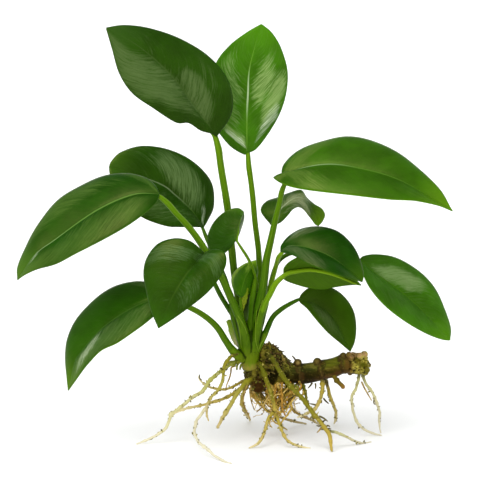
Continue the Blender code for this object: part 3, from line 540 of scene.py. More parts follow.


# %% [markdown]
# ## The leaves, measured
#
# Each leaf has a midrib from its base to its tip and two edges, which are never quite alike. Left and right
# are as its upper side is seen with the tip away. Its stem comes from the crown and clasps it with a sheath
# of this many millimetres.
#
# The deep colour is the blade's own, where no lamp shines on it. Over it lie painted sheens, pale patches
# that stand in for a lamp mirrored in the wax, and a few painted highlights, brighter still. Each is an
# oval:
# how far it lies across from the midrib, from -1 at the left edge to 1 at the right one, how far along, its
# reach both ways, and its strength. A painted rib highlight is a stretch of midrib painted as if it shone:
# its middle, its reach and its strength.

# %% Leaf table
LEAVES = {
    "tall_left": {
        "midrib": [(-16.5, 151.5, 2), (-26, 164.5, 0), (-39.5, 182, -3), (-55, 196, -5),
                   (-71.5, 205.5, -7)],
        "left": [(-19, 153, 1), (-24.5, 154.5, 0), (-30.5, 158.2, -3), (-37, 158.5, -6), (-48, 165.5, -9),
                 (-58.5, 173, -10), (-65, 183, -9), (-68.5, 195, -8)],
        "right": [(-10, 161, 4), (-8.5, 170.5, 5), (-12, 182, 6), (-21.5, 192.5, 6), (-35, 200.5, 4),
                  (-50, 205.5, 1), (-62.5, 206.9, -3)],
        "stem": [(-1, 44, 1), (-4, 62, 3.5), (-6.5, 75, 5), (-8, 84, 5), (-9.5, 98.5, 4.5),
                 (-11.5, 117.5, 4), (-14.5, 136, 3), (-16.5, 151, 2)],
        "thick": (4.1, 3.5), "sheath": 20,
        "colours": {"deep": (35, 68, 11), "painted_sheen": (75, 97, 54), "rib": (54, 80, 36), "tip": (46, 78, 26)},
        "painted_sheens": [(-0.5, 0.46, 0.7, 0.46, 1.0), (0.2, 0.24, 0.45, 0.24, 1.0), (0.7, 0.18, 0.3, 0.12, 0.6),
                   (0.35, 0.66, 0.6, 0.18, 0.5)],
    },
    "tall_middle": {
        "midrib": [(-1.5, 143.5, 10), (-1.5, 161.5, 11), (-1, 173, 12), (0, 187, 13), (5.7, 207.9, 14)],
        "left": [(-3.5, 143, 11), (-11, 148, 13), (-18.5, 159, 16), (-20.5, 172, 17), (-17.5, 187.5, 16),
                 (-10.5, 197, 15), (-2, 203.5, 14)],
        "right": [(3, 145.5, 11), (9, 153, 12), (15, 163.5, 13), (18.2, 174, 13), (18.7, 185, 13),
                  (15.5, 196, 13), (11, 203.5, 14)],
        "stem": [(1.5, 44, 1), (3, 62, 3), (4, 72, 5), (4.8, 82, 6.5), (4.5, 90, 7), (4, 97, 8),
                 (2.5, 108.5, 8), (1, 124.5, 9), (-1.5, 143, 10)],
        "thick": (3.2, 2.9), "sheath": 22,
        "colours": {"deep": (52, 104, 2), "painted_sheen": (128, 156, 90), "rib": (96, 140, 44),
                    "tip": (64, 122, 3)},
        "painted_sheens": [(-0.5, 0.34, 0.45, 0.34, 0.75), (0.4, 0.46, 0.45, 0.24, 0.9),
                   (0.7, 0.2, 0.35, 0.22, 1.0), (-0.4, 0.04, 0.45, 0.12, 0.9)],
        "painted_highlights": [(-0.45, 0.01, 0.35, 0.08, 0.8), (0.74, 0.04, 0.26, 0.16, 0.75)],
        "rib_highlight": (0.46, 0.2, 0.5),
    },
    "upper_right": {
        "midrib": [(17, 131, -5), (23, 135, -5), (38, 137.7, -5), (53, 136, -6), (75, 129.5, -8),
                   (101, 114.5, -10)],
        "left": [(15.5, 134, -3), (17, 138.5, 0), (23.5, 144.5, 4), (34, 149, 7), (47.5, 152, 9),
                 (61, 150, 8), (75, 143.2, 4), (87, 133.5, -1), (95.5, 124.5, -6)],
        "right": [(11.5, 131.5, -7), (14.5, 129, -9), (20.5, 126.7, -13), (30, 125, -16),
                  (49.5, 122.7, -19), (69, 120.5, -18), (82.5, 119.7, -15), (93, 117.5, -12)],
        "stem": [(1.5, 44, -1), (4, 62, -3.5), (6.5, 76, -4.5), (8, 89.5, -5), (10, 98.5, -5),
                 (12.2, 108.5, -5), (15, 120, -5), (17, 130.5, -5)],
        "thick": (5.0, 2.6), "sheath": 40,
        "colours": {"deep": (48, 90, 4), "painted_sheen": (84, 110, 44), "rib": (78, 120, 36),
                    "tip": (80, 122, 14)},
        "painted_sheens": [(-0.5, -0.02, 0.7, 0.18, 0.9), (0.5, 0.0, 0.7, 0.18, 0.9), (0.5, 0.62, 0.6, 0.18, 0.5)],
        "rib_highlight": (0.2, 0.2, 0.2),
    },
    "curled": {
        "midrib": [(11, 107, 18), (14, 113.5, 20), (18, 118, 24), (23, 121.2, 28), (27, 120.3, 31),
                   (30, 117, 33.5), (33, 113, 35.5), (34.5, 107, 36)],
        "left": [(5.5, 114.5, 21), (8, 119.5, 25), (14, 121.7, 29), (20, 124, 32), (26, 125.3, 33.5),
                 (29, 121.7, 35.2), (33, 118, 36), (36.5, 115.7, 36), (38, 112.5, 36), (36.5, 109, 36)],
        "right": [(15.5, 109, 18), (19, 112.5, 20), (21.5, 115.5, 23), (24.5, 116.8, 27), (27.7, 115, 31),
                  (30.5, 111.2, 34), (33, 107.8, 36)],
        "stem": [(2, 46, 2), (5, 60, 8), (7, 72, 12), (8, 84, 14), (9.5, 96, 16), (11, 106.6, 17.8)],
        "thick": (2.4, 1.8), "sheath": 16,
        "colours": {"deep": (44, 80, 8), "painted_sheen": (136, 146, 104), "rib": (128, 146, 90),
                    "tip": (88, 128, 12)},
        "painted_sheens": [(0.2, 0.44, 1.2, 0.26, 1.0), (-0.8, 0.3, 0.5, 0.25, 0.5), (0.8, 0.2, 0.4, 0.2, 0.7)],
        "rib_highlight": (0.3, 0.3, 0.5),
    },
    "long_left": {
        "midrib": [(-45, 123, -16), (-58.5, 122.5, -17), (-76.5, 114.5, -18), (-97, 100, -19),
                   (-107, 92.5, -20), (-115.8, 80.2, -20)],
        "left": [(-46.5, 119, -19), (-52, 113.5, -23), (-61.5, 107, -27), (-73, 100.5, -29),
                 (-84.5, 94.5, -29), (-96, 88.5, -27), (-106, 85.5, -24), (-112, 82.7, -22)],
        "right": [(-47, 127, -13), (-51.5, 131, -9), (-61.5, 133.5, -6), (-73, 132.2, -4),
                  (-84.5, 127.5, -4), (-96, 120.2, -7), (-105.5, 108.5, -11), (-112, 96.5, -15),
                  (-116, 86.5, -18)],
        "stem": [(-1, 42, -1), (-4, 57, -6), (-9, 69.5, -8), (-14, 81, -10), (-18.5, 88.5, -12),
                 (-25, 99, -14), (-31, 107, -15), (-37.5, 114, -15.5), (-44.5, 122.5, -16)],
        "thick": (4.3, 2.9), "sheath": 22,
        "colours": {"deep": (28, 68, 2), "painted_sheen": (68, 96, 38), "rib": (98, 138, 60), "tip": (70, 104, 34)},
        "painted_sheens": [(-0.6, 0.42, 0.7, 0.62, 0.85), (0.8, 0.32, 0.45, 0.36, 0.95),
                   (0.75, -0.14, 0.5, 0.12, 0.9)],
        "painted_highlights": [(-0.06, 0.82, 0.14, 0.08, 0.6)],
        "rib_highlight": (0.78, 0.2, 0.2),
    },
    "back_left": {
        "midrib": [(-23, 106.5, 14), (-29.5, 115, 14), (-37.5, 122.5, 14), (-46, 128.5, 14),
                   (-70.5, 137, 12)],
        "left": [(-28.5, 106.5, 11), (-35.5, 106.5, 8), (-42, 107, 6), (-53, 111, 5), (-61, 117.5, 6),
                 (-67, 126, 8), (-70, 132.5, 10)],
        "right": [(-21, 110, 16), (-18, 117, 18), (-18.5, 127, 20), (-23, 134.5, 21), (-31.5, 141.5, 21),
                  (-42.5, 146, 20), (-54.5, 147.2, 18), (-64.5, 144.2, 15), (-69, 140, 13)],
        "stem": [(-1, 46, 0), (-4.5, 58, 0.5), (-7, 65, 0.5), (-10, 73, 1), (-13, 82, 3), (-18, 93, 7),
                 (-21.5, 100, 10), (-23, 106, 13.5)],
        "thick": (2.8, 2.0), "sheath": 18,
        "colours": {"deep": (33, 70, 4), "painted_sheen": (90, 116, 68), "rib": (60, 90, 36), "tip": (52, 86, 20)},
        "painted_sheens": [(0.45, 0.28, 0.6, 0.32, 1.0), (-0.6, 0.3, 0.5, 0.4, 0.7), (0.8, 0.5, 0.4, 0.2, 0.5)],
        "painted_highlights": [(0.3, -0.01, 0.3, 0.07, 0.7)],
        "rib_highlight": (0.5, 0.3, 0.15),
    },
    "front": {
        "midrib": [(-22.5, 93.5, -27), (-30, 85, -32), (-38, 72.5, -35), (-45.5, 56.2, -35)],
        "left": [(-21, 94.7, -29), (-17, 95.5, -32), (-12.5, 93.7, -35), (-12, 88, -37), (-15.5, 80.7, -38),
                 (-22, 73.2, -38), (-31, 66, -37), (-39.5, 60, -36)],
        "right": [(-25.5, 96.5, -27), (-30.5, 100, -27), (-38, 101, -27), (-46, 98.2, -27),
                  (-51.5, 91, -28), (-53, 83, -30), (-51.5, 74, -32), (-49, 64.5, -34)],
        "stem": [(-1, 44, 0), (-5, 56, -2.5), (-9, 63, -3.5), (-14, 71, -6), (-18, 79, -11), (-21, 87, -18),
                 (-22.5, 92.5, -25.5)],
        "thick": (3.0, 2.0), "sheath": 22,
        "colours": {"deep": (36, 70, 7), "painted_sheen": (74, 100, 60), "rib": (46, 80, 20), "tip": (42, 84, 8)},
        "painted_sheens": [(-0.55, 0.06, 0.6, 0.14, 0.8), (0.6, 0.12, 0.55, 0.18, 0.85),
                   (-0.45, 0.42, 0.5, 0.24, 0.65), (0.05, 0.04, 0.5, 0.12, 0.8),
                   (0.2, 0.6, 0.3, 0.12, 0.5)],
    },
    "small_middle": {
        "midrib": [(-7.5, 100, -10), (-6, 105, -8), (-4.5, 110, -6), (-3.2, 114.2, -3)],
        "left": [(-10, 96, -9), (-15, 92.5, -7), (-20, 94, -5), (-21.3, 101, -5), (-18, 109, -5),
                 (-12, 114.5, -5), (-6, 116, -4)],
        "right": [(-5.5, 103, -4), (-3.8, 107, 0), (-2.8, 111, 0)],
        "stem": [(1, 53, 0), (2.2, 60, 0), (3.2, 67, -0.6), (3.6, 75, -1.8), (2.5, 82.5, -3.2),
                 (-0.4, 89.6, -5.4), (-3.8, 95.2, -8), (-7.2, 99.5, -10)],
        "thick": (1.9, 1.4), "sheath": 12,
        "colours": {"deep": (34, 72, 6), "painted_sheen": (122, 146, 98), "rib": (70, 108, 30),
                    "tip": (60, 100, 20)},
        "painted_sheens": [(-0.1, 0.8, 0.5, 0.3, 0.4), (0.7, 0.4, 0.6, 0.4, 1.0)],
        "painted_highlights": [(0.8, 0.45, 0.35, 0.25, 0.6)],
        "rib_highlight": (0.8, 0.2, 0.2),
    },
    "low_left": {
        "midrib": [(-41, 71, -8.5), (-54, 68.5, -11), (-72.5, 57, -12), (-85, 43.5, -12), (-88, 37.5, -12),
                   (-91, 24.7, -11)],
        "left": [(-43, 66, -11), (-48, 62, -15), (-56, 56, -19), (-66, 49.2, -21), (-74.5, 45, -20),
                 (-81, 38.2, -17), (-86.5, 30.7, -14)],
        "right": [(-43, 75.5, -6), (-50, 78.7, -3), (-58, 79.5, -1), (-69, 76.5, 0), (-79, 69.5, -1),
                  (-87, 60.5, -3), (-91.5, 51, -6), (-92.7, 41, -8), (-92, 31, -10)],
        "stem": [(-1.5, 40, 0), (-7, 43, -3), (-11.5, 48.5, -4), (-17, 57, -5), (-25, 63.5, -6.5),
                 (-33, 67.5, -7.5), (-40.5, 70.8, -8.5)],
        "thick": (4.4, 2.2), "sheath": 11,
        "colours": {"deep": (37, 79, 4), "painted_sheen": (80, 107, 52), "rib": (64, 98, 36), "tip": (74, 110, 22)},
        "painted_sheens": [(-0.55, 0.28, 0.65, 0.55, 0.85), (-0.45, 0.6, 0.6, 0.24, 1.0),
                   (0.8, -0.1, 0.45, 0.12, 0.8), (0.6, 0.55, 0.5, 0.16, 0.4)],
        "painted_highlights": [(-0.35, 0.58, 0.4, 0.16, 0.7)],
    },
    "middle_right": {
        "midrib": [(15, 94.5, -10), (20, 97, -12), (29, 96, -15), (42, 90.5, -17), (56, 79.2, -18)],
        "left": [(15.5, 97.5, -9), (19, 102, -8), (26, 106, -7), (35, 107, -7), (44, 104.5, -8),
                 (50.5, 98.7, -10), (54.5, 91.5, -13), (56.7, 83.5, -16)],
        "right": [(17, 93.7, -13), (22.5, 92, -19), (28, 89, -23), (35, 86, -25), (44, 82.7, -24),
                  (51, 80.5, -21)],
        "stem": [(1.5, 44, 0), (6, 60, 1.5), (8.5, 70, 2), (11, 80, 1), (13.2, 88, -3), (15, 94, -9.5)],
        "thick": (3.0, 2.4), "sheath": 20,
        "colours": {"deep": (24, 66, 3), "painted_sheen": (86, 100, 64), "rib": (70, 104, 40), "tip": (50, 84, 10)},
        "painted_sheens": [(0.5, 0.1, 0.7, 0.36, 0.85), (-0.7, 0.05, 0.4, 0.16, 0.95)],
        "painted_highlights": [(-0.8, -0.02, 0.26, 0.08, 0.6)],
        "rib_highlight": (0.08, 0.12, 0.2),
    },
    "turned_right": {
        "midrib": [(16.5, 83.5, -6), (20.5, 85, -5.5), (30.5, 86, -5), (42, 83.5, -6), (55.5, 77.5, -8)],
        "left": [(17, 80.5, -4), (21.5, 78.5, -2), (28.5, 76.5, 0), (36, 75.7, 0), (44, 77, -2),
                 (51, 77.7, -5)],
        "right": [(17, 86.5, -7), (20.5, 90, -9), (27.5, 92.7, -10), (37.5, 91.7, -10), (46.5, 87, -10),
                  (52, 81.5, -9)],
        "stem": [(1.5, 44, -1), (4.5, 58, -5.5), (7, 67, -7), (10.5, 74, -8), (13.5, 79.5, -7.5),
                 (16.3, 83, -6.3)],
        "thick": (3.2, 3.0), "sheath": 26, "rib_fade": 0.6,
        "colours": {"deep": (56, 91, 8), "painted_sheen": (104, 128, 56), "rib": (80, 120, 30),
                    "tip": (60, 92, 18)},
        "painted_sheens": [(0.5, 0.15, 0.7, 0.3, 0.8), (-0.5, 0.15, 0.7, 0.3, 0.5)],
    },
    "low_right": {
        "midrib": [(25, 70.5, 5), (34, 67.5, 9), (42.5, 60, 10), (50.5, 44, 7)],
        "left": [(26, 73, 7), (30, 76.2, 9), (36.5, 77.5, 12), (43.5, 75, 14), (49, 70, 15),
                 (52.5, 63.5, 14), (53.5, 56, 12), (52.7, 49, 9)],
        "right": [(25.5, 68.5, 5), (29, 65.5, 4), (33.5, 60, 3), (39, 54, 4), (45, 48.7, 6)],
        "stem": [(1, 41, -1), (7.5, 53, -2), (11, 61, -1), (17, 66.3, 1.5), (24.6, 70.3, 4.8)],
        "thick": (3.4, 2.2), "sheath": 14,
        "colours": {"deep": (48, 78, 6), "painted_sheen": (72, 92, 44), "rib": (56, 84, 26), "tip": (56, 92, 8)},
        "painted_sheens": [(0.45, 0.3, 0.7, 0.34, 0.8), (-0.3, -0.05, 0.6, 0.12, 0.6)],
    },
    "far_right": {
        "midrib": [(55, 90, 8), (64, 82.5, 8.5), (76.5, 73.5, 8.5), (88.5, 62.5, 7), (100.5, 49.8, 4)],
        "left": [(57, 92, 10), (63, 93, 13), (72, 91.7, 16), (80.5, 87.7, 17), (88, 82, 17), (94, 74.5, 15),
                 (98, 65.5, 12), (101, 56, 8)],
        "right": [(55.5, 87.5, 7), (56.7, 83, 4), (60, 76.5, 1), (65.5, 69.7, -1), (73, 63, -1),
                  (81.5, 57, 0), (90, 52.5, 2), (96.5, 50.2, 3)],
        "stem": [(1.5, 46, 1), (6, 60, 5), (9, 72, 8), (11.2, 81.5, 9.5), (13.8, 88.6, 10), (19, 92.8, 10),
                 (35, 94.6, 9), (54.5, 90, 8)],
        "thick": (2.8, 2.0), "sheath": 18,
        "colours": {"deep": (52, 102, 1), "painted_sheen": (136, 162, 104), "rib": (66, 110, 14),
                    "tip": (66, 114, 4)},
        "painted_sheens": [(-0.36, 0.26, 0.55, 0.27, 0.86), (-0.85, 0.3, 0.3, 0.4, 0.45),
                   (0.9, 0.5, 0.25, 0.3, 0.4)],
        "fraying": 0.9,
    },
    "young": {
        "midrib": [(-5, 71.5, -4), (-4, 76, -4), (-2, 82, -4), (3, 90, -1.5)],
        "left": [(-7.5, 73.5, -3), (-9.2, 78, -1), (-9, 82, 0), (-6.5, 85.5, 0), (-2.5, 88.2, -1)],
        "right": [(-1.5, 72, -3), (1, 75, -2), (3, 79.5, -1), (4, 84.5, -1)],
        "stem": [(-1, 50, -1), (-2.5, 56, -3), (-4.3, 64, -4), (-5, 71, -4)],
        "thick": (2.2, 1.6), "sheath": 11,
        "colours": {"deep": (50, 98, 3), "painted_sheen": (134, 166, 58), "rib": (76, 118, 22),
                    "tip": (110, 150, 26)},
        "painted_sheens": [(-0.95, 0.4, 0.3, 0.6, 1.0), (-0.4, 0.7, 0.6, 0.2, 0.8), (-0.5, 0.02, 0.6, 0.1, 0.5)],
    },
}
print(len(LEAVES), "leaves")

# %% [markdown]
# ## The shape of a blade
#
# A blade starts as a flat grid. Its rows run from base to tip and its columns from edge to edge, closer
# together near the midrib, where the relief is finest. Each point is moved between the midrib and its edge.
# The two halves bulge, the midrib lies in a groove with a low rib in it, and the main side veins are
# shallow furrows. They leave the midrib at a steep angle and bend towards the tip.

# %% Rows of a blade
BLADE_ROWS = 110
BLADE_COLUMNS = 48
ROW_CROWDING = 1.25
COLUMN_CROWDING = 1.5
BLUNT_SHARE = 0.006
DIRECTION_SHARE = 0.02


def blade_rows(leaf):
    """For each row of a blade: its middle, its two ends, what is upward there and how far along it is."""
    edges = [[leaf["midrib"][0], *leaf[side], leaf["midrib"][-1]] for side in ("left", "right")]
    routes = [smooth_route([on_leaf(*point) for point in points]) for points in (leaf["midrib"], *edges)]
    routes = [(route, lengths_along(route)) for route in routes]
    rib, rib_lengths = routes[0]
    rows = []
    for row in range(BLADE_ROWS + 1):
        along = (row / BLADE_ROWS) ** ROW_CROWDING
        blunted = min(max(along, BLUNT_SHARE), 1 - BLUNT_SHARE)
        middle, left, right = [
            point_at(route, lengths, share * lengths[-1])
            for (route, lengths), share in zip(routes, (along, blunted, blunted))
        ]
        ahead = point_at(rib, rib_lengths, min(along + DIRECTION_SHARE, 1) * rib_lengths[-1])
        behind = point_at(rib, rib_lengths, max(along - DIRECTION_SHARE, 0) * rib_lengths[-1])
        upward = (right - left).cross(ahead - behind).normalized()
        rows.append((middle, left, right, upward, along))
    return rows


widths = [(right - left).length for _, left, right, _, _ in blade_rows(LEAVES["tall_middle"])]
print("the tall middle blade is", round(max(widths)), "mm wide")

# %% Blade shape
BLADE_THICKNESS = 0.6
BULGE = 0.25
VEIN_LEAN = 0.22
VEIN_BEND = 0.12
MAIN_VEINS = 11
VEIN_DEPTH = 0.03
VEIN_SHARPNESS = 5
VEIN_START = 3
GROOVE_DEPTH = 0.35
GROOVE_WIDTH = 1.3
RIB_HEIGHT = 0.18
RIB_WIDTH = 0.5
EDGE_DROP = 0.35
WAVINESS = 0.3
WAVE_LENGTH = 14


def blade_lift(share, along, half_width, place):
    """How far the upper side rises above the straight line from midrib to edge, in millimetres."""
    lift = BULGE * (share - share**2) * half_width
    from_rib = share * half_width
    lift -= GROOVE_DEPTH * exp(-((from_rib / GROOVE_WIDTH) ** 2)) * (1 - along)
    lift += RIB_HEIGHT * exp(-((from_rib / RIB_WIDTH) ** 2)) * (1 - along**2)
    vein = (along - VEIN_LEAN * share - VEIN_BEND * share**2) * MAIN_VEINS
    furrow = (0.5 + 0.5 * cos(tau * vein)) ** VEIN_SHARPNESS
    lift -= VEIN_DEPTH * furrow * min(1, from_rib / VEIN_START) * (1 - share**4)
    lift -= EDGE_DROP * share**8
    return lift + WAVINESS * noise.noise(place / WAVE_LENGTH) * share


def shape_blade(leaf, work):
    """Moves the points of a flat square, from -1 to 1 each way, onto the leaf's blade."""
    rows = blade_rows(leaf)
    for vert in work.verts:
        middle, left, right, upward, along = rows[round((vert.co.y + 1) / 2 * BLADE_ROWS)]
        share = abs(vert.co.x) ** COLUMN_CROWDING
        edge = left if vert.co.x < 0 else right
        straight = middle.lerp(edge, share)
        vert.co = (straight + upward * blade_lift(share, along, (edge - middle).length, straight)) * MM


# %% [markdown]
# ## The skin of a blade
#
# The upper side is deep green with a thick, waxy skin. Its sheens and highlights are painted on as pale
# patches, and fine veins that run beside the main ones fray them into streaks. The pattern has to follow
# the leaf, so it reads the piece's own flat map: how far across a point lies from the midrib, and how far
# along.
# The same sum that bent the furrows bends the streaks.

# %% Places between the veins
SHEEN_TINT = (0.92, 1.0, 0.25, 1)
WAXY = {"IOR": 1.45, "Specular_Tint": SHEEN_TINT}
PATCH_EDGE = 1.4


def vein_places(skin):
    """On which side a point is, how far from the midrib, how far along, and where its own vein starts."""
    across, row = skin.flat_map()
    side = across * 2 - 1
    share = abs(side) ** COLUMN_CROWDING
    along = row**ROW_CROWDING
    foot = along - share * VEIN_LEAN - share * share * VEIN_BEND
    return side, share, along, foot


def patches_at(skin, across, foot, patches):
    """Soft oval patches in the flat map, each with its place, its reach both ways and its strength."""
    total = across * 0
    for middle, along, reach_across, reach_along, strength in patches:
        patch = skin.oval((across - middle) / reach_across, (foot - along) / reach_along, PATCH_EDGE)
        total = total.maths("MAXIMUM", total, patch * strength)
    return total


# %% The upper side
SHEEN_ROUGHNESS = 0.28
PAINTED_HIGHLIGHT_COLOUR = (196, 210, 178)
FRAYING = 2.3
NO_RIB_HIGHLIGHT = (0.5, 0.1, 0.0)


def upper_skin(name, leaf):
    """The glossy upper side of a blade, with painted sheens and highlights that fray into streaks along the
    veins.
    """
    skin = Skin(name, **WAXY)
    side, share, along, foot = vein_places(skin)
    half = (side > 0) * 2 - 1
    fine = skin.cloud(skin.place(), 900.0, 2.0, 0.5)
    uneven = skin.cloud(skin.place(), 60.0, 4.0, 0.6)
    wavy = foot + uneven * 0.07
    streaks = skin.cloud(skin.vector(wavy * 74, share * 2.4, half * 9), 1.0, 6.0, 0.78)
    rough_place = (share * half + uneven * 0.4 - 0.2, foot + uneven * 0.2 - 0.1)
    frayed = (streaks - 0.5) * leaf.get("fraying", FRAYING)
    # Masks of the painted sheens and painted highlights, frayed by the vein streaks, and of the painted
    # highlight on the midrib.
    painted_sheen = skin.rise(patches_at(skin, *rough_place, leaf["painted_sheens"]) + frayed, 0.45, 1.25)
    painted_highlight = skin.rise(patches_at(skin, *rough_place, leaf.get("painted_highlights", [])) + frayed, 0.4, 1.3)
    on_rib = 1 - skin.rise(share / (0.04 - along * 0.03), 0.4, 1.1)
    middle, reach, strength = leaf.get("rib_highlight", NO_RIB_HIGHLIGHT)
    rib_highlight = on_rib * skin.rise(abs(along - middle) / reach, 1.2, 0.0) * strength
    deep, pale, rib, tip = [leaf["colours"][kind] for kind in ("deep", "painted_sheen", "rib", "tip")]
    # Coats: the deep colour in random tones, a lighter tip, faint vein streaks in the sheen colour, the
    # painted sheens, the painted highlights, the rib's own colour, the painted highlight on the rib, and a
    # lighter margin.
    colour = skin.coats(
        skin.blend(skin.rise(uneven, 0.35, 0.7), times(deep, 0.86), times(deep, 1.04)),
        (skin.rise(along, 0.72, 0.98) * 0.9, tip),
        (skin.rise(streaks, 0.45, 0.7) * 0.14, pale),
        (painted_sheen, pale),
        (painted_highlight, PAINTED_HIGHLIGHT_COLOUR),
        (on_rib * 0.6, rib),
        (rib_highlight, PAINTED_HIGHLIGHT_COLOUR),
        (skin.rise(share, 0.94, 0.99) * 0.5, tip),
    )
    roughness = SHEEN_ROUGHNESS + uneven * 0.1 - painted_highlight * 0.1 + on_rib * 0.2
    return skin.finish(colour, roughness, streaks * 0.8 + fine * 0.2, 0.3, 0.5)


# %% The underside and the rim


def under_skin(name, colours):
    """The duller underside, on which the side veins only just show."""
    skin = Skin(name, **WAXY)
    side, share, along, foot = vein_places(skin)
    streaks = skin.cloud(skin.vector(foot * 40, share * 2, (side > 0) * 9), 1.0, 3.0, 0.55)
    veins = skin.rise((foot * MAIN_VEINS).wave(), 0.8, 1.0) * skin.rise(share, 0.02, 0.1)
    colour = skin.coats(
        skin.blend(streaks, times(colours["deep"], 0.9), times(colours["deep"], 1.2)),
        (skin.rise(along, 0.75, 1.0) * 0.7, colours["tip"]),
        (veins * 0.12, colours["rib"]),
    )
    return skin.finish(colour, 0.42 + streaks * 0.12, streaks * 0.6 + veins * 0.2, 0.3, 0.5)


def rim_skin(name, tip):
    """The thin edge between the two sides, lighter than both and without a sheen."""
    skin = Skin(name, IOR=1.1)
    tone = skin.cloud(skin.place(), 200.0)
    return skin.finish(skin.blend(tone, tip, times(tip, 1.3)), tone * 0.2 + 0.5)


# %% Make the blades
for name, leaf in LEAVES.items():
    work = new_sheet()
    bmesh.ops.create_grid(work, x_segments=BLADE_COLUMNS, y_segments=BLADE_ROWS, size=1, calc_uvs=True)
    shape_blade(leaf, work)
    skins = [
        upper_skin(f"leaf_{name}_upper", leaf),
        under_skin(f"leaf_{name}_under", leaf["colours"]),
        rim_skin(f"leaf_{name}_rim", leaf["colours"]["tip"]),
    ]
    blade = as_piece(work, f"blade_{name}", skins, f"leaf_{name}")
    thickness = blade.modifiers.new("thickness", "SOLIDIFY")
    thickness.thickness = BLADE_THICKNESS * MM
    thickness.offset = -0.5
    thickness.material_offset = 1
    thickness.material_offset_rim = 2
print("blades of", BLADE_ROWS * BLADE_COLUMNS, "faces a side")

# %% [markdown]
# ## The stems
#
# A leaf stem is a round, slightly grooved rod, thickest near the crown. Under the blade it doesn't end: it
# runs on as the raised midrib of the underside and gets thinner all the way to the tip. So the stem's route
# is lengthened by the midrib, a little below the blade, and one rolled sheet makes both.

# %% Stem shape
STEM_POINTS_APART = 6
STEM_STEP = 1.5
STEM_SIDES = 20
RIB_TIP_RADIUS = 0.25
RIB_START_SHARE = 0.8
RIB_FADE = 2
RIB_SINK = 0.15
STEM_GROOVE = 0.1
STEM_RIDGES = 7
STEM_GRAIN = 5


def stem_route(leaf):
    """The route of a leaf stem, with its radius."""
    return tapered(smooth_route([on_leaf(*point) for point in leaf["stem"]]), leaf["thick"])


def under_rib(leaf):
    """The points of the raised midrib on the underside, from the end of the stem to the tip."""
    start_radius = leaf["thick"][1] / 2 * RIB_START_SHARE
    points = []
    for middle, _, _, upward, along in blade_rows(leaf)[2:-3:4]:
        fade = (1 - along) ** leaf.get("rib_fade", RIB_FADE)
        radius = RIB_TIP_RADIUS + (start_radius - RIB_TIP_RADIUS) * fade
        sink = BLADE_THICKNESS / 2 + GROOVE_DEPTH * (1 - along) + radius * 0.7 + RIB_SINK
        points.append(Vector((*(middle - upward * sink), radius)))
    return points


def stem_points(leaf):
    """The stem from its sheath to the blade, and on as the rib below it."""
    stem = stretch(stem_route(leaf), STEM_POINTS_APART, leaf["sheath"] / 2)
    return stretch(smooth_route([*stem[:-1], *under_rib(leaf)], 6), STEM_STEP)


def stem_shape(angle, point):
    """A shallow groove and a few long ridges."""
    groove = STEM_GROOVE * max(0, cos(angle)) ** 6
    return 1 - groove + 0.018 * cos(angle * STEM_RIDGES) + 0.05 * noise.noise(point.to_3d() / STEM_GRAIN)


# %% Stem skin


def stem_skin(name, low, high, streak):
    """Yellow-green with fine lengthwise streaks, and another green at its upper end."""
    skin = Skin(name, **WAXY)
    circle, along = skin.flat_map()
    x = circle.wave()
    y = circle.wave("SINE")
    streaks = skin.cloud(skin.vector(x * 5, y * 5, along * 3), 1.0, 4.0, 0.6)
    flecks = skin.cloud(skin.place(), 420.0, 3.0, 0.6)
    colour = skin.coats(
        skin.blend(skin.rise(along, 0.0, 0.8), low, high),
        (skin.rise(streaks, 0.45, 0.75) * 0.6, streak),
        (skin.rise(streaks, 0.5, 0.3) * 0.5, times(low, 0.7)),
        (skin.rise(flecks, 0.62, 0.8) * 0.3, times(low, 0.6)),
    )
    return skin.finish(colour, 0.3 + flecks * 0.15, streaks * 0.7 + flecks * 0.3, 0.25, 0.5)


# One stem skin painted at three levels of light: painted lit, painted in full light, and painted in shade
# for the stems that lie under other leaves.
STEM_SKINS = {
    "bright": stem_skin("stem_painted_lit", (60, 98, 2), (88, 128, 4), (126, 156, 44)),
    "light": stem_skin("stem_painted_full_light", (84, 124, 4), (112, 150, 14), (134, 168, 50)),
    "shaded": stem_skin("stem_shaded", (36, 78, 3), (64, 106, 6), (92, 128, 28)),
}
STEM_PAINTED_LIGHT = {
    "middle_right": "light", "turned_right": "light", "curled": "shaded", "far_right": "shaded",
    "low_right": "shaded", "back_left": "shaded", "front": "shaded",
}

# %% Make the stems
for name, leaf in LEAVES.items():
    work = new_sheet()
    roll(work, stem_points(leaf), STEM_SIDES, stem_shape)
    as_piece(work, f"stalk_{name}", [STEM_SKINS[STEM_PAINTED_LIGHT.get(name, "bright")]], f"stem_{name}")
print(len(LEAVES), "stems with the ribs below their blades")

# %% [markdown]
# ## The crown
#
# Each stem widens at its foot into a sheath that wraps the younger ones inside it. Together they look like
# one short trunk. Here every sheath is first a rolled sheet of its own, wide at its foot. A Remesh modifier
# then wraps one skin round all of them, as if they had grown together, and a Smooth modifier softens the
# creases between them.

# %% Crown shape
CROWN = [(-0.2, 33.8, 0, 2.8), (-0.1, 36, 0, 4.0), (0, 40, 0, 4.7), (0.1, 46, 0, 4.7), (0.3, 54, 0, 4.4),
         (0.7, 62, 0, 4.4), (1.3, 69, 0, 3.8), (1.8, 75, 0, 2.2)]
BROAD_SHEATHS = [
    [(2.6, 81, -4, 0.7), (2.2, 77, -4.2, 1.3), (1.6, 72, -4.2, 1.9), (1.4, 67, -4, 2.3), (1, 60, -3.4, 2.7),
     (0.2, 52, -2.4, 3.2), (-0.2, 46, -1, 3.4)],
    [(-9.4, 69, -6.5, 1.6), (-8, 63, -5.8, 2.2), (-6, 57, -4.8, 2.7), (-4, 51, -3.4, 3.1),
     (-2.2, 45.5, -2, 3.3)],
    [(-3.2, 70, 1.5, 1.6), (-3.2, 62, 1, 2.4), (-2.6, 55, 0.5, 2.6)],
]
SHEATH_OVERLAP = 6
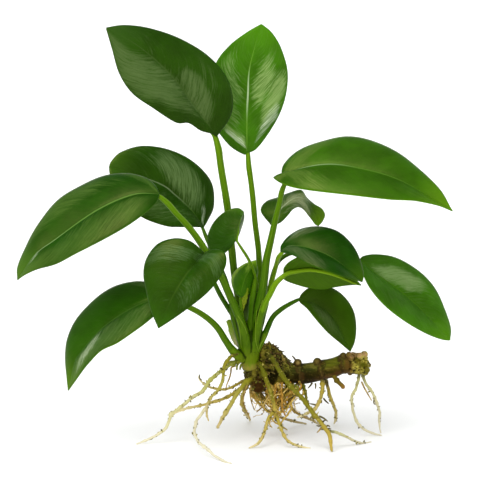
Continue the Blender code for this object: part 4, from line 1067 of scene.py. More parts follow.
SHEATH_FOOT_GAIN = 0.35
SHEATH_FADE = 0.2
SHEATH_STEP = 0.8
SHEATH_SIDES = 32
SHEATH_RIDGES = 9
SHEATH_GRAIN = 4


def sheath_points(leaf):
    """The part of a stem that clasps the crown, wider at its foot and sinking into the stem at its top."""
    points = stretch(stem_route(leaf), SHEATH_STEP, end=leaf["sheath"] + SHEATH_OVERLAP)
    last = len(points) - 1
    for i, point in enumerate(points):
        share = i / last
        point.w *= 1 + SHEATH_FOOT_GAIN * (1 - share) - SHEATH_FADE * share**4
    return points


def sheath_shape(angle, point):
    """Long ridges and a slightly uneven skin."""
    return 1 + 0.01 * cos(angle * SHEATH_RIDGES) + 0.05 * noise.noise(point.to_3d() / SHEATH_GRAIN)


# %% Grow tubes together
CREASE = "crease"
CREASE_ROUNDS = 20
HALFWAY = 0.5


def grow_together(piece, grain, rounds):
    """Wraps one skin round all tubes of a piece, and writes on each point how deep it lies in a crease."""
    wrap = piece.modifiers.new("wrap", "REMESH")
    wrap.mode = "VOXEL"
    wrap.voxel_size = grain * MM
    soften = piece.modifiers.new("soften", "SMOOTH")
    soften.factor = HALFWAY
    soften.iterations = rounds
    shaped = bpy.data.meshes.new_from_object(piece.evaluated_get(bpy.context.evaluated_depsgraph_get()))
    piece.modifiers.clear()
    work = bmesh.new()
    work.from_mesh(shaped)
    work.normal_update()
    crease = work.verts.layers.float.new(CREASE)
    before = [(vert.co.copy(), vert.normal.copy()) for vert in work.verts]
    for _ in range(CREASE_ROUNDS):
        bmesh.ops.smooth_vert(
            work, verts=work.verts, factor=HALFWAY, use_axis_x=True, use_axis_y=True, use_axis_z=True)
    for vert, (place, outward) in zip(work.verts, before):
        vert[crease] = (vert.co - place).dot(outward) / MM
        vert.co = place
    depths = sorted(vert[crease] for vert in work.verts)
    work.to_mesh(piece.data)
    work.free()
    piece.data.shade_smooth()
    tenths = [round(depths[len(depths) * share // 10], 3) for share in (1, 3, 5, 7, 9)]
    print(piece.name, "has", len(depths), "points with creases of", tenths, "mm")


# %% Crown skin
HOLLOW_SHADE_MIDDLE = (8.4, 0.8)
SHEATH_GREENS = ((84, 54, 34), (36.4, 37.6, (134, 124, 52)), (38.5, 41.5, (90, 110, 12)),
                 (42, 50, (64, 94, 2)), (52, 72, (54, 92, 2)))


def crown_skin(name):
    """Cream and brown at the foot, then yellow-green, then the green of the stems, with painted shade in
    the creases and in the hollow at the heart, and a painted highlight on the ridges.
    """
    skin = Skin(name, **WAXY)
    x, y, height = [number / MM for number in skin.apart(skin.place())]
    streaks = skin.cloud(skin.squeezed((1, 1, 0.12)), 700.0, 4.0, 0.6)
    patches = skin.cloud(skin.place(), 150.0, 3.0, 0.55)
    crease = skin.written(CREASE)
    from_hollow_shade = ((x - HOLLOW_SHADE_MIDDLE[0]) * (x - HOLLOW_SHADE_MIDDLE[0]) + (y - HOLLOW_SHADE_MIDDLE[1]) * (y - HOLLOW_SHADE_MIDDLE[1])) ** 0.5
    colour = skin.coats(
        skin.steps(height + patches * 5 - 2.5, *SHEATH_GREENS),
        (skin.rise(streaks, 0.45, 0.7) * 0.35, (84, 122, 12)),
        (skin.rise(streaks, 0.5, 0.25) * 0.5, (32, 64, 1)),
        # Painted shade in the hollow at the heart of the crown and in its creases, and a painted highlight
        # on its ridges.
        (skin.rise(from_hollow_shade, 5.2, 3.4) * skin.rise(height, 52, 58) * 0.9, (24, 40, 2)),
        (skin.rise(crease, 0.02, 0.13) * 0.9, (20, 42, 1)),
        (skin.rise(crease, -0.06, -0.2) * 0.25, (112, 148, 26)),
    )
    return skin.finish(colour, 0.32 + patches * 0.15, streaks * 0.8 + patches * 0.2, 0.3, 0.6)


# %% Make the crown
CROWN_GRAIN = 0.38
CROWN_SOFTENING = 3

work = new_sheet()
sheaths = [drawn(points, SHEATH_STEP) for points in (CROWN, *BROAD_SHEATHS)]
sheaths += [sheath_points(leaf) for leaf in LEAVES.values()]
for points in sheaths:
    roll(work, points, SHEATH_SIDES, sheath_shape)
crown_front = BVHTree.FromBMesh(work)
crown = as_piece(work, "crown_of_sheaths", [crown_skin("crown_skin")], "crown")
grow_together(crown, CROWN_GRAIN, CROWN_SOFTENING)
print("a crown of", len(sheaths), "tubes")

# %% [markdown]
# ### Sheath edges and the old sheath
#
# The two edges of a sheath are thin, dry and pale, and show as fine lines where they meet the next one.
# They are drawn as seen from the front, and a ray from the front finds how deep the crown's surface lies
# there. A browned bract and the torn stump of an old sheath are thin strips: tubes that are pressed flat.

# %% Make the sheath edges
EDGE_WIDTHS = (0.44, 0.22)
EDGE_STEP = 0.8
EDGE_SIDES = 8
BEFORE_THE_CROWN = -60
SHEATH_EDGES = [
    [(2.5, 82.5), (1.2, 78.5), (-1, 73.5), (-3.5, 68.5), (-5, 64)],
    [(3.4, 65), (2.8, 57.5), (2.8, 50), (4.4, 44)],
    [(10, 75.5), (6.5, 70), (4.4, 63.5), (3.4, 57.5)],
    [(-9.2, 67.5), (-6.7, 61), (-5, 54), (-4.4, 46)],
    [(8, 52), (5.5, 48), (4.6, 45)],
    [(-12, 76), (-9.5, 70), (-7, 64), (-3, 57), (-1.5, 53)],
]


def on_crown(across, up):
    """The place on the front of the crown that is seen there."""
    hit = crown_front.ray_cast(seen(across, up, BEFORE_THE_CROWN) * MM, sight)[0]
    return hit / MM if hit else seen(across, up, 0)


work = new_sheet()
for edge in SHEATH_EDGES:
    route = stretch(smooth_route([on_crown(across, up) for across, up in edge]), EDGE_STEP)
    roll(work, tapered(route, EDGE_WIDTHS), EDGE_SIDES)
edge_skin = stem_skin("sheath_edge", (104, 136, 24), (116, 146, 36), (146, 168, 76))
as_piece(work, "sheath_edges", [edge_skin], slot="crown")
print(len(SHEATH_EDGES), "sheath edges")

# %% Make the bract and the old sheath
STRIP_FLATNESS = 0.35
STRIP_TEARS = 0.25
STRIP_STEP = 0.6
STRIP_SIDES = 20
STRIPS = {
    "bract": {
        "route": [(-1.4, 76.5, 0.7), (-2.0, 73.5, 1.2), (-2.8, 70.5, 1.5), (-3.6, 67.5, 1.3),
                  (-4.2, 64, 0.6)],
        "depth": -4.5, "skin": ((96, 122, 16), (126, 144, 36), (112, 112, 26)),
    },
    "old_sheath": {
        "route": [(-4.4, 45.5, 1.2), (-6.8, 49.5, 1.9), (-8.6, 53.5, 1.9), (-9.8, 57.5, 1.7),
                  (-10.6, 60.3, 1.5)],
        "depth": -1.5, "skin": ((196, 186, 140), (112, 146, 28), (142, 164, 66)),
    },
    "old_sheath_lobe": {
        "route": [(-5.2, 47, 0.9), (-6.6, 50.5, 1.3), (-7.6, 54, 1.0), (-8, 56.5, 0.4)],
        "depth": -3, "skin": ((196, 180, 150), (120, 138, 44), (150, 158, 84)),
    },
}


def flat_shape(angle, point):
    """A tube that is pressed flat, with a slightly torn outline."""
    torn = 1 + STRIP_TEARS * noise.noise(point.to_3d() / 1.3 + Vector((3, cos(angle), 0)))
    return torn * (abs(cos(angle)) + STRIP_FLATNESS * (1 - abs(cos(angle))))


for name, strip in STRIPS.items():
    work = new_sheet()
    points = [(across, up, strip["depth"], radius) for across, up, radius in strip["route"]]
    roll(work, drawn(points, STRIP_STEP), STRIP_SIDES, flat_shape)
    as_piece(work, name, [stem_skin(f"{name}_skin", *strip["skin"])], slot="crown")
print(len(STRIPS), "flat strips")

# %% [markdown]
# ## The rhizome
#
# The rhizome is a thick stem that creeps over the ground. Old leaves have left a ring round it where each
# was joined, and buds sit on the rings. It was cut at its far end, where a pale callus has grown over the
# cut, and the brown slope towards the crown is what is left of old leaf bases.

# %% Rhizome shape
RHIZOME = [(0.5, 31, 1.5, 3.0), (4, 29.5, 3, 4.3), (9, 31, 4, 5.0), (14, 33, 5, 5.2), (20, 33.2, 5, 5.2),
           (27.5, 33, 5, 5.1), (35, 34.5, 5, 5.0), (42, 36, 5, 4.8), (47.5, 37.8, 5, 4.8),
           (53.5, 38, 5, 5.4), (58.5, 36.5, 4.5, 4.6)]
RHIZOME_LUMPS = {
    "old_leaf_bases": [(8, 48, 3.5, 1.8), (10.5, 45, 3.5, 2.5), (14.5, 40.5, 3.5, 3.1),
                       (18.5, 36, 4.5, 3.0)],
    "cut_shoot": [(5, 29, 2, 3.0), (4.5, 27, -1, 3.4), (4.5, 26, -4, 3.2)],
    "neck": [(0.5, 36.5, 0, 3.3), (1.2, 33.5, 0.3, 4.4), (3, 30, 1.5, 4.6)],
    "crook": [(5.6, 47.5, 1.5, 1.6), (6.8, 44.5, 1.3, 2.6), (8, 39.5, 1.5, 3.8), (8.5, 34.5, 2.5, 4.4)],
    "end_callus": [(56, 37, 4.5, 3.6), (58.5, 35.5, 3, 3.4)],
}
RING_PLACES = (18, 26, 37, 48.5, 53, 56)
RING_HEIGHT = 0.45
RING_HALF_WIDTH = 1.4
RHIZOME_STEP = 0.45


def ringed(points):
    """The rhizome's points with its leaf scars as low, sharp rings."""
    lengths = lengths_along(points)
    ringed_points = []
    for point, along in zip(points, lengths):
        nearest = min(abs(along - ring) for ring in RING_PLACES)
        rise = RING_HEIGHT * max(0, 1 - nearest / RING_HALF_WIDTH) ** 1.5
        ringed_points.append(Vector((*point.to_3d(), point.w + rise)))
    return ringed_points


def rough_shape(amount, grain):
    """A shape that is uneven by this share, in lumps of this many millimetres."""
    def shape(angle, point):
        spot = point.to_3d() + Vector((cos(angle), sin(angle), 0)) * point.w
        return 1 + amount * noise.fractal(spot / grain, 1.0, 2.0, 3)
    return shape


body = ringed(drawn(RHIZOME, RHIZOME_STEP))
print("a rhizome of", round(lengths_along(body)[-1]), "mm with", len(RING_PLACES), "rings")

# %% Rhizome skin
BUDS = [(24, 38.4, 3.5, 2.1), (33.8, 38.8, 4, 2.2), (46.8, 41.8, 4, 1.9)]
BUD_EYES = (0.6, 0.15, 0.1)
BUD_GLOW = 1.2
SCARS = (25.5, 35.2, 46.3)
CUT_SHOOT = (4.5, 26, -4)
# Bark colours from below the axis to above it; the lightest, along the top, is a painted highlight.
BARK_AND_TOP_HIGHLIGHT = ((36, 18, 12), (-0.7, -0.1, (36, 26, 8)), (0.0, 0.6, (44, 46, 10)), (0.55, 0.95, (76, 74, 24)))
GREENER_BARK = ((74, 42, 26), (-0.8, -0.2, (66, 54, 14)), (-0.1, 0.5, (84, 88, 16)))


def scar_coats(skin, across, above, patches, grain):
    """A dark band with a lighter middle for each scar of a leaf."""
    for scar in SCARS:
        away = abs(across + patches * 11 - 5.5 + above * 0.6 - scar)
        yield (1 - skin.rise(away, 1.2, 2.8)) * skin.rise(grain, 0.3, 0.6) * 0.85, (34, 20, 10)
        yield (1 - skin.rise(away, 0.3, 1.3)) * 0.5, (74, 46, 26)


def bud_coats(skin):
    """A brown ring round each bud, and a pale eye on the side that faces the front."""
    for bud, eye in zip(BUDS, BUD_EYES):
        apart = skin.away_from(seen(*bud[:3]) - sight * bud[3])
        yield (1 - skin.rise(apart, 1.5, 2.6)) * 0.7, (62, 42, 22)
        yield (1 - skin.rise(apart, BUD_GLOW / 2, BUD_GLOW)) * eye, (150, 124, 74)


def rhizome_skin(name):
    """Brown below and dark olive higher up, with a painted highlight of lighter olive along the top,
    greener far from the crown, with scars, buds and a pale callus, painted shade in its creases and a
    painted highlight on its ridges.
    """
    skin = Skin(name, IOR=1.4, Specular_Tint=SHEEN_TINT)
    x, _, z = skin.apart(skin.place())
    across = x / MM + MIDDLE_ACROSS
    height = z / MM
    above = (height - 32.6 - skin.rise(across, 24, 52) * 5.5) / 5
    stripes = skin.cloud(skin.squeezed((0.15, 1, 1)), 420.0, 4.0, 0.6)
    patches = skin.cloud(skin.place(), 190.0, 4.0, 0.6)
    grain = skin.cloud(skin.place(), 1000.0, 3.0, 0.6)
    crease = skin.written(CREASE)
    shifted = across + patches * 4 - 2
    tilted = above + patches * 0.9 - 0.45
    callus = skin.blend(skin.rise(patches, 0.4, 0.62), (78, 80, 6), (186, 174, 74))
    fresh_cut = skin.rise(height, 41, 43.5) * skin.rise(shifted, 49, 51) * skin.rise(grain, 0.4, 0.6)
    crust = (1 - skin.rise(across, 16, 23)) * 0.85
    colour = skin.coats(
        skin.steps(tilted, *BARK_AND_TOP_HIGHLIGHT),
        (skin.rise(shifted, 30, 38), skin.steps(tilted, *GREENER_BARK)),
        (skin.rise(stripes, 0.52, 0.72) * 0.5, (130, 120, 50)),
        (skin.rise(stripes, 0.48, 0.3) * 0.75, (26, 20, 2)),
        *scar_coats(skin, across, above, patches, grain),
        (skin.rise(shifted, 46.5, 49), (88, 62, 26)),
        (skin.rise(across + patches * 8 - 4, 50, 54) * 0.9,
         skin.blend(skin.rise(grain, 0.45, 0.62), callus, (90, 80, 12))),
        (fresh_cut * 0.8, (186, 140, 104)),
        *bud_coats(skin),
        (crust, skin.blend(skin.rise(patches, 0.45, 0.65), (24, 16, 2), (114, 104, 32))),
        (skin.rise(skin.away_from(seen(*CUT_SHOOT)), 5.5, 3.5) * 0.8, (62, 28, 14)),
        (skin.rise(grain, 0.58, 0.75) * 0.5, (40, 28, 10)),
        (skin.rise(grain, 0.42, 0.25) * (0.35 - crust * 0.3), (136, 122, 62)),
        # Painted shade in the creases, and a painted highlight on the ridges.
        (skin.rise(crease, 0.03, 0.18) * 0.85, (28, 18, 6)),
        (skin.rise(crease, -0.05, -0.25) * 0.14, (150, 132, 70)),
    )
    return skin.finish(colour, 0.42 + grain * 0.25, stripes * 0.4 + grain * 0.6, 0.5, 0.8)


# %% Make the rhizome
RHIZOME_SIDES = 56
RHIZOME_GRAIN = 0.36
RHIZOME_SOFTENING = 2
END_KNOBS = 44


def add_ball(work, place, radius, subdivisions):
    """Adds a small ball."""
    ball = bmesh.ops.create_icosphere(work, subdivisions=subdivisions, radius=radius * MM)
    bmesh.ops.translate(work, verts=ball["verts"], vec=place * MM)


work = new_sheet()
roll(work, body, RHIZOME_SIDES, rough_shape(0.05, 4))
for points in RHIZOME_LUMPS.values():
    roll(work, drawn(points, RHIZOME_STEP), RHIZOME_SIDES // 2, rough_shape(0.3, 1.8))
for across, up, depth, radius in BUDS:
    add_ball(work, seen(across, up, depth), radius, 3)
rng = Random(5)
for _ in range(END_KNOBS):
    radius = rng.uniform(0.6, 1.9)
    add_ball(work, seen(rng.uniform(49, 58.8), rng.uniform(33.3, 42.8), rng.uniform(-1.8, 7.5)), radius, 3)
rhizome = as_piece(work, "rhizome_body", [rhizome_skin("rhizome_skin")], "rhizome")
grow_together(rhizome, RHIZOME_GRAIN, RHIZOME_SOFTENING)
print("a rhizome with", len(BUDS), "buds and", END_KNOBS, "knobs at its cut end")

# %% [markdown]
# ## The roots
#
# The roots are cords of about two millimetres, green where they start and cream further down. They wander a
# little and are never evenly thick. Each one is drawn through its own points from what it grows from to its
# tip. Where it reaches the floor it lies on it.

# %% Root table
ROOTS = {
    "left_long": {
        "route": [(-4, 39.8, -1), (-6.5, 39.5, -2), (-12.5, 36, -4), (-20, 29.5, -5), (-24, 24, -6),
                  (-29, 21, -6), (-36, 15, -7), (-39.5, 12.7, -8), (-40.5, 9.5, -8), (-42, 6, -9),
                  (-45, 3.5, -9.5), (-49, 1, -10), (-53, -0.8, -10.5), (-57, -2.3, -11)],
        "thick": (2.5, 1.4), "skin": "bright",
    },
    "left_upper": {
        "route": [(-5.4, 43.5, -4.2), (-9, 42, -7), (-12.7, 37.5, -9), (-13.5, 32, -10), (-14.2, 28.5, -11),
                  (-16, 24.5, -12), (-19.2, 21.5, -13), (-21, 18.5, -14), (-22, 16, -15),
                  (-21.5, 12.5, -16), (-20.7, 9.2, -17)],
        "thick": (2.1, 1.4), "skin": "green_topped",
    },
    "left_branch": {
        "route": [(-21.3, 17.7, -14.5), (-23.5, 14, -16.5), (-25.7, 11, -18), (-27.5, 7, -22),
                  (-27.5, 2.5, -27), (-25, -1.5, -33), (-21, -4.5, -38), (-17.5, -7.5, -42),
                  (-13, -10, -47), (-9, -11.5, -51)],
        "thick": (1.8, 1.4), "skin": "pale",
    },
    "left_hooked": {
        "route": [(-1, 30.3, 2.2), (-4.5, 28.8, 2), (-8.5, 26.5, 2.5), (-12.7, 25, 3), (-17.5, 25.5, 3),
                  (-21, 26.5, 2), (-24, 28.5, 1), (-25.7, 30.5, 1), (-25.5, 32.2, 1)],
        "thick": (1.6, 1.1), "skin": "golden",
    },
    "left_straight": {
        "route": [(-0.5, 28.5, 1), (-3.5, 26.5, -0.5), (-8.5, 23, -3), (-13, 20.5, -4), (-18, 19, -4.5),
                  (-23, 17.5, -6), (-27.5, 16.5, -7), (-32.2, 15.5, -9), (-38.5, 13, -11.5)],
        "thick": (2.0, 1.3), "skin": "golden",
    },
    "left_thick": {
        "route": [(1, 30.5, 0), (-0.5, 30, -4.5), (-3, 27.5, -6), (-6.5, 23, -8), (-10, 17, -10),
                  (-13.5, 11.2, -12), (-16.5, 5.5, -13)],
        "thick": (2.8, 2.0), "skin": "green_topped", "blunt": 0.8,
    },
    "back": {
        "route": [(-0.5, 29, 3.5), (-3.3, 23.5, 6.5), (-4.2, 18.5, 12), (-3, 15, 20), (-1.3, 11.5, 30),
                  (0.3, 8.5, 38)],
        "thick": (2.2, 1.5), "skin": "golden",
    },
    "front": {
        "route": [(3.5, 38.5, -1.5), (5.5, 37, -4.5), (7.2, 33, -6), (9.5, 26.5, -8), (11.5, 20, -9),
                  (12.5, 14, -10), (12.6, 11.5, -10.6)],
        "thick": (2.6, 2.2), "skin": "olive",
    },
    "front_left": {
        "route": [(12.2, 14.5, -10), (10, 11.5, -11), (8.2, 7.5, -13), (7.2, 4, -15), (5.5, 0, -17),
                  (3, -2.5, -18.5), (-0.5, -4.2, -19.2)],
        "thick": (2.0, 1.8), "skin": "golden",
    },
    "front_right": {
        "route": [(12.6, 13.5, -10), (14, 10, -11), (15.5, 5.5, -13), (17.5, 1.5, -16), (20.5, -1.5, -17.5),
                  (25.5, -3.5, -18.2), (30.5, -4.2, -18.8)],
        "thick": (1.9, 1.2), "skin": "golden",
    },
    "long": {
        "route": [(7.5, 42.5, 1), (9, 42.5, -3), (11, 41, -5), (13, 37.5, -6), (15.5, 33.5, -8),
                  (18, 29.5, -9), (21, 26, -10), (25, 22, -12), (28.5, 17.5, -14), (31.7, 13, -17),
                  (35, 9.5, -20), (37.5, 6, -22), (39.5, 2.5, -24), (40.5, -1.5, -25.8), (41, -6, -27.3)],
        "thick": (2.7, 2.5), "skin": "olive",
    },
    "long_side": {
        "route": [(38.6, 4.6, -22.5), (44, 3.5, -20), (48, 1.5, -16), (52, -0.5, -13), (56, -1.8, -10),
                  (61, -1.4, -6.7)],
        "thick": (1.8, 1.2), "skin": "cream",
    },
    "middle_hooked": {
        "route": [(36, 31, 3), (36.3, 28, 2), (36.3, 23.5, 1.5), (35, 19.5, 1), (32.2, 15, -2),
                  (27.5, 12.5, -4), (23.5, 11, -6)],
        "thick": (2.5, 1.8), "skin": "golden",
    },
    "middle_back": {
        "route": [(38, 31, 6), (39, 26, 7), (41, 19.5, 11), (43, 14.5, 17), (43.5, 10, 25),
                  (42.5, 7.2, 31)],
        "thick": (2.1, 1.5), "skin": "golden",
    },
    "middle_short": {
        "route": [(26, 30.5, 4), (26.5, 27.5, 4), (28, 22.5, 5), (28.7, 18, 6), (30, 13.5, 8)],
        "thick": (2.0, 1.3), "skin": "olive",
    },
    "end_left": {
        "route": [(55, 35, 3.5), (54.5, 31, 3), (53.5, 26.5, 3), (51.5, 22, 2), (51, 18.5, 2),
                  (52, 13.5, 3), (53.5, 9, 4), (57.2, 5, 5), (62, 2.7, 6), (66.5, 1.7, 6.7)],
        "thick": (1.9, 1.3), "skin": "cream",
    },
    "end_right": {
        "route": [(56.5, 34.5, 5.5), (57, 30.5, 6), (58.5, 27.5, 6.5), (61.5, 23.5, 7), (63.5, 18.5, 8),
                  (65, 14, 9), (65, 9, 10), (65.5, 4.5, 11), (66, 2.7, 11.5)],
        "thick": (1.9, 1.2), "skin": "cream",
    },
    "tangle_left": {
        "route": [(3.5, 28.5, 2.5), (1.8, 24.5, 3.5), (3.2, 20, 5.5), (7.7, 15, 9.5), (12.5, 12, 15),
                  (18, 9.7, 21), (24, 8, 27), (29, 7.1, 31)],
        "thick": (1.8, 1.3), "skin": "tan",
    },
    "tangle_middle": {
        "route": [(18.5, 30, 5), (18.5, 26.5, 5), (16.5, 21.5, 5), (14, 17.5, 5), (12, 13.5, 4),
                  (13.5, 9.5, 9), (16.5, 6, 15), (19, 4.2, 18)],
        "thick": (1.9, 1.3), "skin": "olive",
    },
    "tangle_right": {
        "route": [(21.5, 30, 6), (21.5, 26.5, 7), (19.8, 21, 8.5), (21.5, 15, 12), (26, 11.5, 17),
                  (31, 9.3, 24), (35, 6.7, 29)],
        "thick": (2.0, 1.4), "skin": "tan",
    },
    "stub": {
        "route": [(41, 34, 2.5), (42.5, 31, 2), (45, 28.2, 0.5), (47.5, 25.5, -1)],
        "thick": (2.6, 2.6), "skin": "stub", "blunt": 0.9,
    },
}
print(len(ROOTS), "roots")

# %% Root shape
ROOT_STEP = 0.7
ROOT_SIDES = 14
ROOT_TIP_SHARE = 0.45
TIP_LENGTH = 6.0
LYING_SHARE = 0.55
FINER = 0.84
WANDER = 0.4
WANDER_GRAIN = 3.5
WANDER_SEED = 1795828071
KNOT_HEIGHT = 1.1
KNOT_GRAIN = 1.7

# Without a seed this noise starts from the clock, and the roots lie a little differently each run.
noise.seed_set(WANDER_SEED)


def root_points(root):
    """The root's points, kept out of the floor, with a tip that narrows over its last millimetres."""
    route = tapered(smooth_route([seen(*point) for point in root["route"]]), root["thick"])
    points = stretch(route, ROOT_STEP)
    length = lengths_along(points)[-1]
    tip_share = root.get("blunt", ROOT_TIP_SHARE)
    for index, point in enumerate(points):
        left_to_tip = length * (1 - index / (len(points) - 1))
        point.w *= FINER * (tip_share + (1 - tip_share) * min(1, left_to_tip / TIP_LENGTH))
        point.w *= 1 + KNOT_HEIGHT * max(0, noise.noise(point.to_3d() / KNOT_GRAIN) - 0.1)
        shift = noise.noise_vector(point.to_3d() / WANDER_GRAIN) * WANDER
        point.x += shift.x
        point.y += shift.y
        point.z = max(point.z, LYING_SHARE * point.w)
    return points


def root_shape(angle, point):
    """Uneven thickness, with small knots."""
    spot = point.to_3d() + Vector((cos(angle), sin(angle), 0)) * point.w
    return 1 + 0.14 * noise.noise(point.to_3d() / 2.6) + 0.2 * noise.noise(spot / 0.8)


# %% Root skins
ROOT_SHEEN = (1.0, 0.95, 0.6, 1)
SPECK = (70, 60, 12)
ROOT_COLOURS = {
    "olive": (((34, 36, 1), (94, 96, 12), (116, 112, 24), (176, 152, 68)), SPECK, 0.8),
    "green_topped": (((48, 56, 1), (130, 126, 30), (164, 154, 72), (192, 172, 118)), SPECK, 0.8),
    "bright": (((92, 106, 6), (168, 168, 82), (204, 198, 142), (222, 214, 182)), SPECK, 0.6),
    "golden": (((84, 76, 6), (164, 146, 58), (180, 160, 86), (216, 202, 154)), SPECK, 0.7),
    "cream": (((70, 76, 4), (188, 184, 130), (196, 188, 148), (206, 198, 170)), SPECK, 0.5),
    "pale": (((186, 172, 122), (210, 202, 168), (212, 206, 176), (206, 200, 172)), SPECK, 0.3),
    "tan": (((48, 38, 2), (160, 136, 68), (152, 126, 64), (186, 170, 128)), SPECK, 0.6),
    "stub": (((84, 80, 18), (104, 90, 24), (96, 82, 20), (140, 102, 44)), (50, 34, 12), 0.7),
}


def root_skin(name, colours, speck, speck_amount):
    """Colours from the top of a root to its tip, in patches, with small dark specks."""
    skin = Skin(name, IOR=1.4, Specular_IOR_Level=0.35, Specular_Tint=ROOT_SHEEN)
    _, along = skin.flat_map()
    patches = skin.cloud(skin.place(), 260.0, 4.0, 0.65)
    grain = skin.cloud(skin.place(), 1300.0, 3.0, 0.6)
    shifted = along + patches * 0.5 - 0.25
    first, second, third, last = colours
    colour = skin.coats(
        skin.steps(shifted, first, (0.0, 0.22, second), (0.22, 0.55, third), (0.55, 0.95, last)),
        (skin.rise(patches, 0.54, 0.7) * 0.5, second),
        (skin.rise(patches, 0.44, 0.3) * 0.5, last),
        (skin.rise(grain, 0.62, 0.72) * speck_amount, speck),
    )
    return skin.finish(colour, 0.45 + grain * 0.25, grain * 0.6 + patches * 0.4, 0.4, 0.8)


ROOT_SKINS = {kind: root_skin(f"root_{kind}", *row) for kind, row in ROOT_COLOURS.items()}

# %% Make the roots
for name, root in ROOTS.items():
    work = new_sheet()
    roll(work, root_points(root), ROOT_SIDES, root_shape)
    as_piece(work, f"cord_{name}", [ROOT_SKINS[root["skin"]]], f"root_{name}")
print(len(ROOTS), "roots with", len(ROOT_SKINS), "skins")

# %% [markdown]
# ## Hairs and crumbs
#
# No root is bare. Small dark side roots stand off it, and crumbs of old soil stick to it. Each is a tiny
# tube or a tiny lump, and there are hundreds, so they have few faces and are made by one loop. A seeded
# random generator puts them in the same places each time.

# %% Hairs and crumbs
HAIR_RINGS = 4
HAIR_SIDES = 5
HAIR_BEND = 0.6
FLOOR_CLEARANCE = 0.05


def lifted(place, radius):
    """The place, but no lower than a thing of this radius can lie."""
    return Vector((place.x, place.y, max(place.z, radius + FLOOR_CLEARANCE)))


def any_way(rng):
    """A random direction."""
    return Vector([rng.gauss(0, 1) for _ in range(3)]).normalized()


def add_hair(work, rng, base, out, length, radius, tip_share):
    """A short bent hair. The tip share says how much of its radius is left at its tip."""
    bend = any_way(rng) * HAIR_BEND
    points = []
    for ring in range(HAIR_RINGS + 1):
        share = ring / HAIR_RINGS
        place = lifted(base + (out * share + bend * share**2) * length, radius)
        points.append(Vector((*place, radius * (1 - (1 - tip_share) * share))))
    roll(work, points, HAIR_SIDES)


def add_crumb(work, rng, place, radius):
    """A small uneven lump."""
    ball = bmesh.ops.create_icosphere(work, subdivisions=1, radius=radius * MM)
    squash = Matrix.Diagonal([rng.uniform(0.6, 1.3) for _ in range(3)])
    bmesh.ops.transform(work, matrix=squash.to_4x4(), verts=ball["verts"])
    bmesh.ops.translate(work, verts=ball["verts"], vec=lifted(place, radius * 1.2) * MM)


def surface_spot(points, rng, start=0.0, end=1.0):
    """A random place on a tube, and the way out of it."""
    frames = ring_frames(points)
    ring = rng.randrange(int(start * (len(points) - 1)), int(end * (len(points) - 1)) + 1)
    side, other = frames[ring]
    angle = rng.uniform(0, tau)
    out = side * cos(angle) + other * sin(angle)
    return points[ring].to_3d() + out * points[ring].w * 0.9, out


def plain_skin(name, dark, light):
    """Two colours in small patches."""
    skin = Skin(name, IOR=1.4)
    patches = skin.cloud(skin.place(), 400.0, 3.0, 0.6)
    colour = skin.blend(skin.rise(patches, 0.35, 0.65), dark, light)
    return skin.finish(colour, 0.5 + patches * 0.25, patches, 0.2, 0.5)


# %% Put stubs and crumbs on the roots
STUBS_AND_CRUMBS_PER_CM = {
    "olive": (10.0, 16.0), "green_topped": (6.0, 12.0), "bright": (5.0, 9.0), "golden": (7.0, 10.0),
    "cream": (3.0, 6.0), "pale": (1.5, 2.0), "tan": (4.0, 8.0), "stub": (0.0, 6.0),
}
CRUMB_CLUSTER = 3
STUB_SKINS = {
    "dark": plain_skin("stub_dark", (78, 74, 14), (122, 114, 34)),
    "pale": plain_skin("stub_pale", (126, 120, 36), (176, 162, 80)),
}

rng = Random(11)
stubs = {kind: new_sheet() for kind in STUB_SKINS}
crumbs = new_sheet()
for root in ROOTS.values():
    points = root_points(root)
    centimetres = lengths_along(points)[-1] / 10
    stubs_per_cm, crumbs_per_cm = STUBS_AND_CRUMBS_PER_CM[root["skin"]]
    for number in range(round(stubs_per_cm * centimetres)):
        base, out = surface_spot(points, rng, 0.05, 0.85)
        kind = "dark" if number % 2 else "pale"
        length = rng.uniform(0.4, 1.1)
        add_hair(stubs[kind], rng, base - out * 0.3, out, length, rng.uniform(0.28, 0.5), 0.85)
    for _ in range(round(crumbs_per_cm * centimetres / CRUMB_CLUSTER)):
        place, _ = surface_spot(points, rng, 0, 0.9)
        for _ in range(CRUMB_CLUSTER):
            add_crumb(crumbs, rng, place + any_way(rng) * 0.5, rng.uniform(0.14, 0.36))
print({kind: len(work.faces) for kind, work in stubs.items()}, "faces of stubs")
print(len(crumbs.faces), "faces of crumbs")
for kind, work in stubs.items():
    as_piece(work, f"root_stubs_{kind}", [STUB_SKINS[kind]], slot="root_tan")
as_piece(crumbs, "root_crumbs", [plain_skin("crumb_brown", (72, 66, 12), (128, 114, 40))], slot="root_tan")

# %% [markdown]
# ## Side roots that stand out
#
# A few dark stumps and thin side roots are large enough to be told apart, so they are placed one by one.

